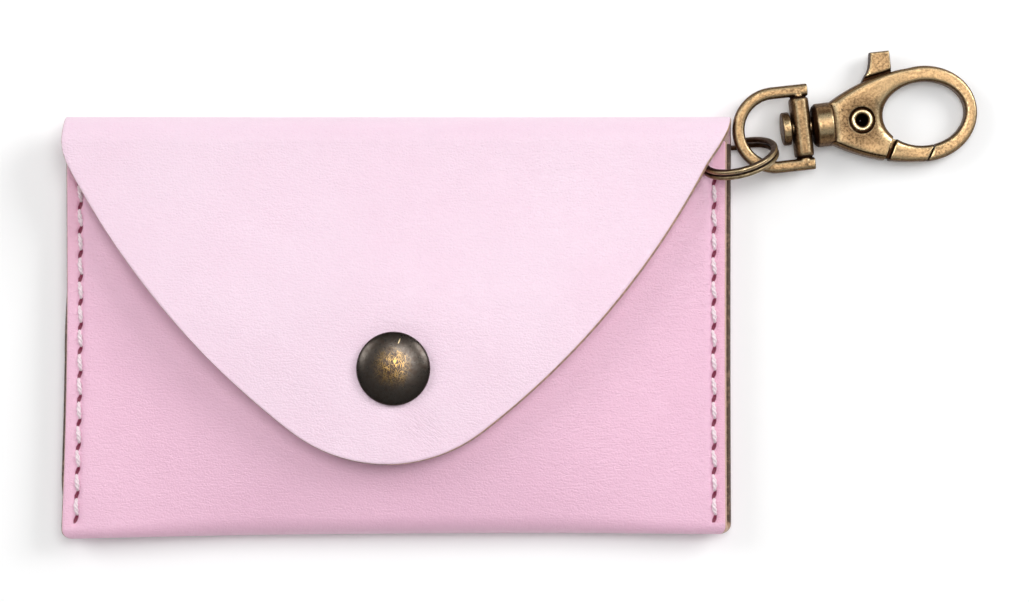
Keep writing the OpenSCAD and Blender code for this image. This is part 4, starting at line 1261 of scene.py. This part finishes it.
def grain_group():
    """Fine hide grain: small cells with soft creases between them, and faint patches in the dye."""
    group, given, result = new_group("Hide grain", [
        ("Position", "NodeSocketVector", (0, 0, 0)), ("Cell scale", "NodeSocketFloat", 2600.0)],
        [("Height", "NodeSocketFloat"), ("Patches", "NodeSocketFloat"), ("Pores", "NodeSocketFloat")])
    where = given["Position"]
    cells = node(group, "ShaderNodeTexVoronoi", {"Vector": where, "Scale": given["Cell scale"]},
                 feature="DISTANCE_TO_EDGE").outputs["Distance"]
    rounded_cells = ramp(group, cells, 0.0, 0.35)
    fine = noise(group, where, 5200.0, 2.0)
    drawn = node(group, "ShaderNodeMapping", {"Vector": where, "Scale": (620.0, 2300.0, 620.0)}).outputs[0]
    creases = maths(group, "ABSOLUTE", maths(group, "SUBTRACT", noise(group, drawn, 1.0, 2.0), 0.5))
    height = plus(group, times(group, rounded_cells, 0.5), times(group, fine, 0.5))
    height = plus(group, height, ramp(group, creases, 0.0, 0.10, 0.0, 0.5))
    patches = noise(group, where, 62.0, 3.0)
    group.links.new(height, result["Height"])
    group.links.new(ramp(group, patches, 0.35, 0.68), result["Patches"])
    group.links.new(ramp(group, cells, 0.0, 0.06, 1.0, 0.0), result["Pores"])
    return group


def leather_material(leather, thread):
    """Pink grain leather with painted cut edges, a suede inner side, painted shade in the stitch holes and a
    paler flap face that is painted light.
    """
    material, tree, shader = new_material("pink_leather")
    where = place(tree)
    grain = use_group(tree, grain_group(), {"Position": where, "Cell scale": 2300.0})
    tone = blend_colour(tree, times(tree, grain["Patches"], 0.45), leather.colour, leather.shade)
    # Painted light: the flap's face, and the fold as it turns onto it, take the paler colour for the brighter
    # light and sheen they catch.
    painted_light_share = times(tree, mask(tree, "pale"), ramp(tree, grain["Patches"], 0, 1, 1, 0.85))
    tone = blend_colour(tree, painted_light_share, tone, leather.pale)
    tone = blend_colour(tree, times(tree, grain["Pores"], 0.22), tone, leather.shade)
    fibres = noise(tree, where, 3800.0, 4.0, 0.7)
    suede = blend_colour(tree, ramp(tree, fibres, 0.3, 0.7), leather.flesh,
                         tuple(min(1.0, 1.22 * c) for c in leather.flesh))
    flesh, edge, hole = mask(tree, "flesh"), mask(tree, "edge"), mask(tree, "hole")
    # The sewn strip's own tint, and on the left near the top also painted shade under the flap.
    rosy_tint_and_shade = times(tree, mask(tree, "sewn"), 0.4)
    tone = blend_colour(tree, rosy_tint_and_shade, tone, leather.sewn)
    tone = blend_colour(tree, flesh, tone, suede)
    streaks = noise(tree, where, 1400.0, 3.0)
    dark = plus(tree, ramp(tree, edge, 0.5, 1.0), ramp(tree, streaks, 0.3, 0.7, -0.25, 0.25))
    paint = blend_colour(tree, dark, leather.edge, leather.paint)
    tone = blend_colour(tree, ramp(tree, edge, 0.15, 0.45), tone, paint)
    # Painted shade in the stitch holes.
    tone = blend_colour(tree, ramp(tree, hole, 0.30, 0.85), tone, thread.hole)
    tree.links.new(tone, shader.inputs["Base Color"])
    dull = plus(tree, ramp(tree, grain["Height"], 0.2, 0.9, 0.45, 0.35), times(tree, flesh, 0.4))
    tree.links.new(dull, shader.inputs["Roughness"])
    shader.inputs["Specular IOR Level"].default_value = 0.6
    shader.inputs["Sheen Weight"].default_value = 0.06
    spot = framed(tree, where, CREASE_AT, CREASE_TURN, CREASE_SIZE)
    off = length_of(tree, spot)
    worn = times(tree, mask(tree, "pale"), ramp(tree, off, 0.3, 1.1, 1.0, 0.0))
    drawn = node(tree, "ShaderNodeMapping", {"Vector": spot, "Scale": (1.5, 7.0, 1.0)}).outputs[0]
    folds = maths(tree, "ABSOLUTE", maths(tree, "SUBTRACT", noise(tree, drawn, 1.0, 2.0), 0.5))
    folds = times(tree, worn, ramp(tree, folds, 0.0, 0.08, -0.8, 0.0))
    bump(tree, shader, plus(tree, grain["Height"], folds), leather.grain_depth, 0.8)
    return material


def thread_material(thread):
    """Waxed two-ply thread with fine fibres."""
    material, tree, shader = new_material("waxed_thread")
    where = place(tree)
    fibres = noise(tree, where, 5200.0, 3.0, 0.6)
    tone = blend_colour(tree, ramp(tree, fibres, 0.3, 0.7), tuple(0.88 * c for c in thread.colour), thread.colour)
    tree.links.new(tone, shader.inputs["Base Color"])
    shader.inputs["Roughness"].default_value = 0.6
    shader.inputs["Sheen Weight"].default_value = 0.15
    bump(tree, shader, fibres, 0.00004, 0.6)
    return material


def patina_group():
    """Aged brass: dark speckle over the faces, polished edges and painted highlights, black recesses and painted
    shade.
    """
    group, given, result = new_group("Aged brass", [
        ("Position", "NodeSocketVector", (0, 0, 0)), ("Face", "NodeSocketColor", (0.3, 0.2, 0.1, 1)),
        ("Rubbed", "NodeSocketColor", (0.8, 0.5, 0.2, 1)), ("Dark", "NodeSocketColor", (0.03, 0.02, 0.01, 1)),
        ("Wear", "NodeSocketFloat", 0.0), ("Grime", "NodeSocketFloat", 0.0),
        ("Speckle", "NodeSocketFloat", 0.5), ("Speckle scale", "NodeSocketFloat", 1500.0)],
        [("Colour", "NodeSocketColor"), ("Roughness", "NodeSocketFloat"), ("Height", "NodeSocketFloat")])
    where = given["Position"]
    fine = noise(group, where, given["Speckle scale"], 3.0, 0.65)
    wide = noise(group, where, 320.0, 2.0)
    cloudy = noise(group, where, 900.0, 3.0, 0.6)
    spots = plus(group, times(group, ramp(group, fine, 0.47, 0.60), 0.85),
                 times(group, ramp(group, cloudy, 0.45, 0.70), 0.5))
    cover = times(group, ramp(group, wide, 0.35, 0.65, 0.35, 1.0), given["Speckle"])
    spots = times(group, spots, cover)
    tone = blend_colour(group, spots, given["Face"], given["Dark"])
    # The rubbed colour also carries the painted highlights.
    rub_and_highlight = times(group, given["Wear"], ramp(group, fine, 0.30, 0.60, 1.15, 0.65))
    tone = blend_colour(group, maths(group, "MINIMUM", rub_and_highlight, 1.0), tone, given["Rubbed"])
    # The dark colour also carries the painted shade.
    dirt_and_shade = times(group, given["Grime"], ramp(group, fine, 0.3, 0.7, 0.9, 1.3))
    dirt_and_shade = maths(group, "MINIMUM", dirt_and_shade, 1.0)
    tone = blend_colour(group, dirt_and_shade, tone, given["Dark"])
    rough = plus(group, ramp(group, fine, 0.3, 0.7, 0.33, 0.50),
                 times(group, maths(group, "SUBTRACT", dirt_and_shade, rub_and_highlight), 0.12))
    group.links.new(tone, result["Colour"])
    group.links.new(rough, result["Roughness"])
    group.links.new(fine, result["Height"])
    return group


def brass_material(name, group, brass, face, speckle, scale):
    """Aged brass that follows the piece's own wear and grime, and the painted highlights and painted shade stored
    with them.
    """
    material, tree, shader = new_material(name)
    aged = use_group(tree, group, {
        "Position": place(tree), "Face": (*face, 1), "Rubbed": (*brass.rubbed_and_highlight, 1), "Dark": (*brass.dark, 1),
        "Wear": mask(tree, "wear"), "Grime": mask(tree, "grime"), "Speckle": speckle,
        "Speckle scale": scale})
    tree.links.new(aged["Colour"], shader.inputs["Base Color"])
    tree.links.new(aged["Roughness"], shader.inputs["Roughness"])
    shader.inputs["Metallic"].default_value = 1.0
    bump(tree, shader, aged["Height"], 0.00005, 0.6)
    return material


def cap_material(group, brass):
    """The dark dome, scuffed to bare brass round its crown."""
    material, tree, shader = new_material("dark_bronze_cap")
    where = place(tree)
    centre = (-SNAP_X * MM + CROWN_OFF[0], -SNAP_Y * MM + CROWN_OFF[1], -(CAP_SEAT + CAP_CROWN) * MM)
    centred = node(tree, "ShaderNodeMapping", {"Vector": where, "Location": centre}).outputs[0]
    ragged = times(tree, noise(tree, where, 1100.0, 4.0, 0.7), 0.0022)
    crown = ramp(tree, plus(tree, length_of(tree, centred), ragged), 0.0022, 0.0044, 1.0, 0.0)
    flecks = ramp(tree, noise(tree, where, 4200.0, 4.0, 0.75), 0.56, 0.66, 0.0, 0.7)
    for turn, scale in SCUFF_SWEEPS:
        swept = framed(tree, where, (0, 0, 0), turn, (SCUFF_W, SCUFF_L * scale, 1.0))
        flecks = maths(tree, "MAXIMUM", flecks, ramp(tree, noise(tree, swept, 1.0, 2.0, 0.5), 0.57, 0.62))
    nick = length_of(tree, framed(tree, centred, NICK_AT, NICK_TURN, NICK_SIZE))
    scuff = times(tree, crown, flecks)
    stain = maths(tree, "MAXIMUM", maths(tree, "SUBTRACT", times(tree, crown, 0.7), scuff), 0.0)
    aged = use_group(tree, group, {
        "Position": where, "Face": (*brass.cap_face, 1), "Rubbed": (*brass.cap_scuff, 1),
        "Dark": (*brass.dark, 1), "Wear": scuff, "Grime": stain, "Speckle": 0.5, "Speckle scale": 1300.0})
    tone = blend_colour(tree, ramp(tree, nick, 0.6, 1.1, 1.0, 0.0), aged["Colour"], brass.rubbed_and_highlight)
    tree.links.new(tone, shader.inputs["Base Color"])
    tree.links.new(times(tree, aged["Roughness"], 0.75), shader.inputs["Roughness"])
    shader.inputs["Metallic"].default_value = 1.0
    shader.inputs["Coat Weight"].default_value = 0.3
    shader.inputs["Coat Roughness"].default_value = 0.2
    bump(tree, shader, aged["Height"], 0.00003, 0.6)
    return material


def steel_material(brass):
    material, tree, shader = new_material("bright_steel")
    marks = noise(tree, place(tree), 2400.0, 2.0)
    tone = blend_colour(tree, ramp(tree, marks, 0.3, 0.7), tuple(0.8 * c for c in brass.steel), brass.steel)
    tree.links.new(tone, shader.inputs["Base Color"])
    tree.links.new(ramp(tree, marks, 0.3, 0.7, 0.25, 0.38), shader.inputs["Roughness"])
    shader.inputs["Metallic"].default_value = 1.0
    return material


def finish_named(name, make, *given):
    """The named material, made on first use."""
    return bpy.data.materials.get(name) or make(*given)


def leather_finish(scene):
    return finish_named("pink_leather", leather_material, scene.pick_leather, scene.pick_thread)


def patina():
    return bpy.data.node_groups.get("Aged brass") or patina_group()


def brass_finish(scene):
    brass = scene.pick_brass
    return finish_named("aged_brass", brass_material, "aged_brass", patina(), brass, brass.face, 0.75, 3000.0)


def ring_finish(scene):
    brass = scene.pick_brass
    return finish_named("dark_wire", brass_material, "dark_wire", patina(), brass, brass.ring_face, 0.45, 1300.0)


def cap_finish(scene):
    return finish_named("dark_bronze_cap", cap_material, patina(), scene.pick_brass)


def steel_finish(scene):
    return finish_named("bright_steel", steel_material, scene.pick_brass)


# Operators

class PICK_OT_pocket(bpy.types.Operator):
    """Build the folded leather pocket"""

    bl_idname = "pick_holder.pocket"
    bl_label = "Pocket"

    def execute(self, context):
        obj = pocket_mesh(context.scene.pick_leather, leather_finish(context.scene))
        settle(obj, "pocket", ["pocket"])
        return {"FINISHED"}


class PICK_OT_flap(bpy.types.Operator):
    """Build the top fold and the envelope flap"""

    bl_idname = "pick_holder.flap"
    bl_label = "Flap"

    def execute(self, context):
        obj = flap_mesh(context.scene.pick_leather, leather_finish(context.scene))
        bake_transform(obj)
        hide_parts("flap", "flap_fold")
        return {"FINISHED"}


class PICK_OT_stitches(bpy.types.Operator):
    """Sew both side seams, front and back"""

    bl_idname = "pick_holder.stitches"
    bl_label = "Stitches"

    def execute(self, context):
        thread = context.scene.pick_thread
        material = finish_named("waxed_thread", thread_material, thread)
        tree = stitch_tree()
        for seed, (name, side, face_z, out) in enumerate((
                ("left_needle", -1, SEAM_TOP, 1), ("left_bobbin", -1, SEAM_LIFT, -1),
                ("right_needle", 1, SEAM_TOP, 1), ("right_bobbin", 1, SEAM_LIFT, -1))):
            obj = stitch_points(name + "_stitches", side, face_z, out)
            run_tree(obj, tree, {"Length": thread.length, "Ply radius": thread.ply_radius, "Rise": thread.rise,
                                 "Twist": thread.twist, "Seed": seed, "Material": material}, material)
            settle(obj, "pocket", [name + "_thread"])
        return {"FINISHED"}


class PICK_OT_snap(bpy.types.Operator):
    """Build the press snap: cap, socket and stud"""

    bl_idname = "pick_holder.snap"
    bl_label = "Snap"

    def execute(self, context):
        scene = context.scene
        settle(cap_mesh(cap_finish(scene)), "flap", ["snap_cap"])
        settle(socket_mesh(ring_finish(scene)), "flap", ["snap_socket"])
        settle(stud_mesh(ring_finish(scene)), "pocket", ["snap_stud"])
        return {"FINISHED"}


class PICK_OT_ring(bpy.types.Operator):
    """Wind the split ring"""

    bl_idname = "pick_holder.split_ring"
    bl_label = "Split ring"

    def execute(self, context):
        settle(ring_mesh(ring_finish(context.scene)), "ring", ["split_ring"])
        return {"FINISHED"}


class PICK_OT_loop(bpy.types.Operator):
    """Cast the swivel loop"""

    bl_idname = "pick_holder.swivel_loop"
    bl_label = "Swivel loop"

    def execute(self, context):
        settle(swivel_loop_mesh(brass_finish(context.scene)), "loop", ["swivel_loop"])
        return {"FINISHED"}


class PICK_OT_clasp(bpy.types.Operator):
    """Cast the clasp's body and set its rivet"""

    bl_idname = "pick_holder.clasp"
    bl_label = "Clasp"

    def execute(self, context):
        material = brass_finish(context.scene)
        settle(clasp_mesh(material), "clasp", ["clasp_body"])
        settle(rivet_mesh(material), "clasp", ["gate_rivet"])
        return {"FINISHED"}


class PICK_OT_gate(bpy.types.Operator):
    """Cast the gate with its thumb"""

    bl_idname = "pick_holder.gate"
    bl_label = "Gate"

    def execute(self, context):
        settle(gate_mesh(brass_finish(context.scene)), "gate", ["gate_lever"])
        return {"FINISHED"}


class PICK_OT_small_parts(bpy.types.Operator):
    """Finish the small parts that keep their solids"""

    bl_idname = "pick_holder.small_parts"
    bl_label = "Springs and post"

    def execute(self, context):
        scene = context.scene
        for name, material in (("snap_spring", steel_finish(scene)), ("gate_spring", steel_finish(scene)),
                               ("snap_post", ring_finish(scene))):
            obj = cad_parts[name]
            obj.data.materials.clear()
            obj.data.materials.append(material)
        return {"FINISHED"}


def soft_lamp(name, power, size, at, towards):
    data = bpy.data.lights.new(name, "AREA")
    data.energy, data.size = power, size
    lamp = bpy.data.objects.new(name, data)
    lamp.location = at
    lamp.rotation_euler = (Vector(towards) - Vector(at)).to_track_quat("-Z", "Y").to_euler()
    bpy.context.scene.collection.objects.link(lamp)


class PICK_OT_stage(bpy.types.Operator):
    """Set up the camera, the pale floor and the soft lamps"""

    bl_idname = "pick_holder.stage"
    bl_label = "Stage"

    def execute(self, context):
        scene, stage = context.scene, context.scene.pick_stage
        scene.view_settings.view_transform = "Standard"
        middle = Vector(VIEW_MIDDLE)
        data = bpy.data.cameras.new("Camera")
        data.sensor_width = SENSOR_W
        data.lens = SENSOR_W * (stage.camera_height - SEAM_TOP * MM) / stage.view_width
        data.clip_start, data.clip_end = 0.01, 10
        camera = bpy.data.objects.new("Camera", data)
        camera.location = middle + Vector((0, 0, stage.camera_height))
        scene.collection.objects.link(camera)
        scene.camera = camera
        self.floor(stage)
        self.room(scene, stage)
        for name, size, at in LAMPS:
            soft_lamp(name, getattr(stage, name + "_power"), size, at, middle)
        return {"FINISHED"}

    def floor(self, stage):
        """A pale floor that keeps the shadow and glows faintly for the camera."""
        corners = FLOOR_HALF * np.array([(-1, -1, 0), (1, -1, 0), (1, 1, 0), (-1, 1, 0)])
        floor = plain_mesh("floor", corners / MM, [(0, 1, 2, 3)])
        material, tree, shader = new_material("pale_floor")
        shader.inputs["Base Color"].default_value = (*stage.floor, 1)
        shader.inputs["Roughness"].default_value = 0.9
        shader.inputs["Specular IOR Level"].default_value = 0.1
        rays = node(tree, "ShaderNodeLightPath")
        seen = maths(tree, "MAXIMUM", rays.outputs["Is Camera Ray"], rays.outputs["Is Glossy Ray"])
        glow = node(tree, "ShaderNodeEmission", {"Strength": times(tree, seen, FLOOR_GLOW)})
        both = node(tree, "ShaderNodeAddShader", {0: shader.outputs[0], 1: glow.outputs[0]})
        output = next(n for n in tree.nodes if n.type == "OUTPUT_MATERIAL")
        tree.links.new(both.outputs[0], output.inputs["Surface"])
        floor.data.materials.append(material)

    def room(self, scene, stage):
        world = bpy.data.worlds.new("room")
        scene.world = world
        world.use_nodes = True
        tree = world.node_tree
        backdrop = tree.nodes["Background"]
        backdrop.inputs["Color"].default_value = (1, 1, 1, 1)
        height = node(tree, "ShaderNodeSeparateXYZ", {0: node(tree, "ShaderNodeTexCoord").outputs["Generated"]})
        mirrored = node(tree, "ShaderNodeLightPath").outputs["Is Glossy Ray"]
        seen = ramp(tree, height.outputs["Z"], 0.05, 0.75, 0.02, 0.24)
        share = node(tree, "ShaderNodeMix", {"Factor": mirrored, "A": stage.sky, "B": seen}).outputs["Result"]
        tree.links.new(share, backdrop.inputs["Strength"])


STEPS = (PICK_OT_pocket, PICK_OT_flap, PICK_OT_stitches, PICK_OT_snap, PICK_OT_ring, PICK_OT_loop,
         PICK_OT_clasp, PICK_OT_gate, PICK_OT_small_parts, PICK_OT_stage)
SETTINGS = (("pick_leather", LeatherSettings), ("pick_thread", ThreadSettings), ("pick_brass", BrassSettings),
            ("pick_stage", StageSettings))


class PICK_PT_panel(bpy.types.Panel):
    """Settings and steps of the pick holder"""

    bl_idname = "PICK_PT_panel"
    bl_label = "Pick holder"
    bl_space_type = "VIEW_3D"
    bl_region_type = "UI"
    bl_category = "Pick holder"

    def draw(self, context):
        for name, kind in SETTINGS:
            box = self.layout.box()
            box.label(text=kind.__doc__)
            for key in kind.__annotations__:
                box.prop(getattr(context.scene, name), key)
        for step in STEPS:
            self.layout.operator(step.bl_idname)


CLASSES = tuple(kind for _, kind in SETTINGS) + STEPS + (PICK_PT_panel,)


def register():
    for kind in CLASSES:
        bpy.utils.register_class(kind)
    for name, kind in SETTINGS:
        setattr(bpy.types.Scene, name, PointerProperty(type=kind))


def unregister():
    for name, _ in SETTINGS:
        delattr(bpy.types.Scene, name)
    for kind in reversed(CLASSES):
        bpy.utils.unregister_class(kind)


def main():
    register()
    for step in STEPS:
        group, name = step.bl_idname.split(".")
        getattr(getattr(bpy.ops, group), name)()


if __name__ == "__main__":
    main()
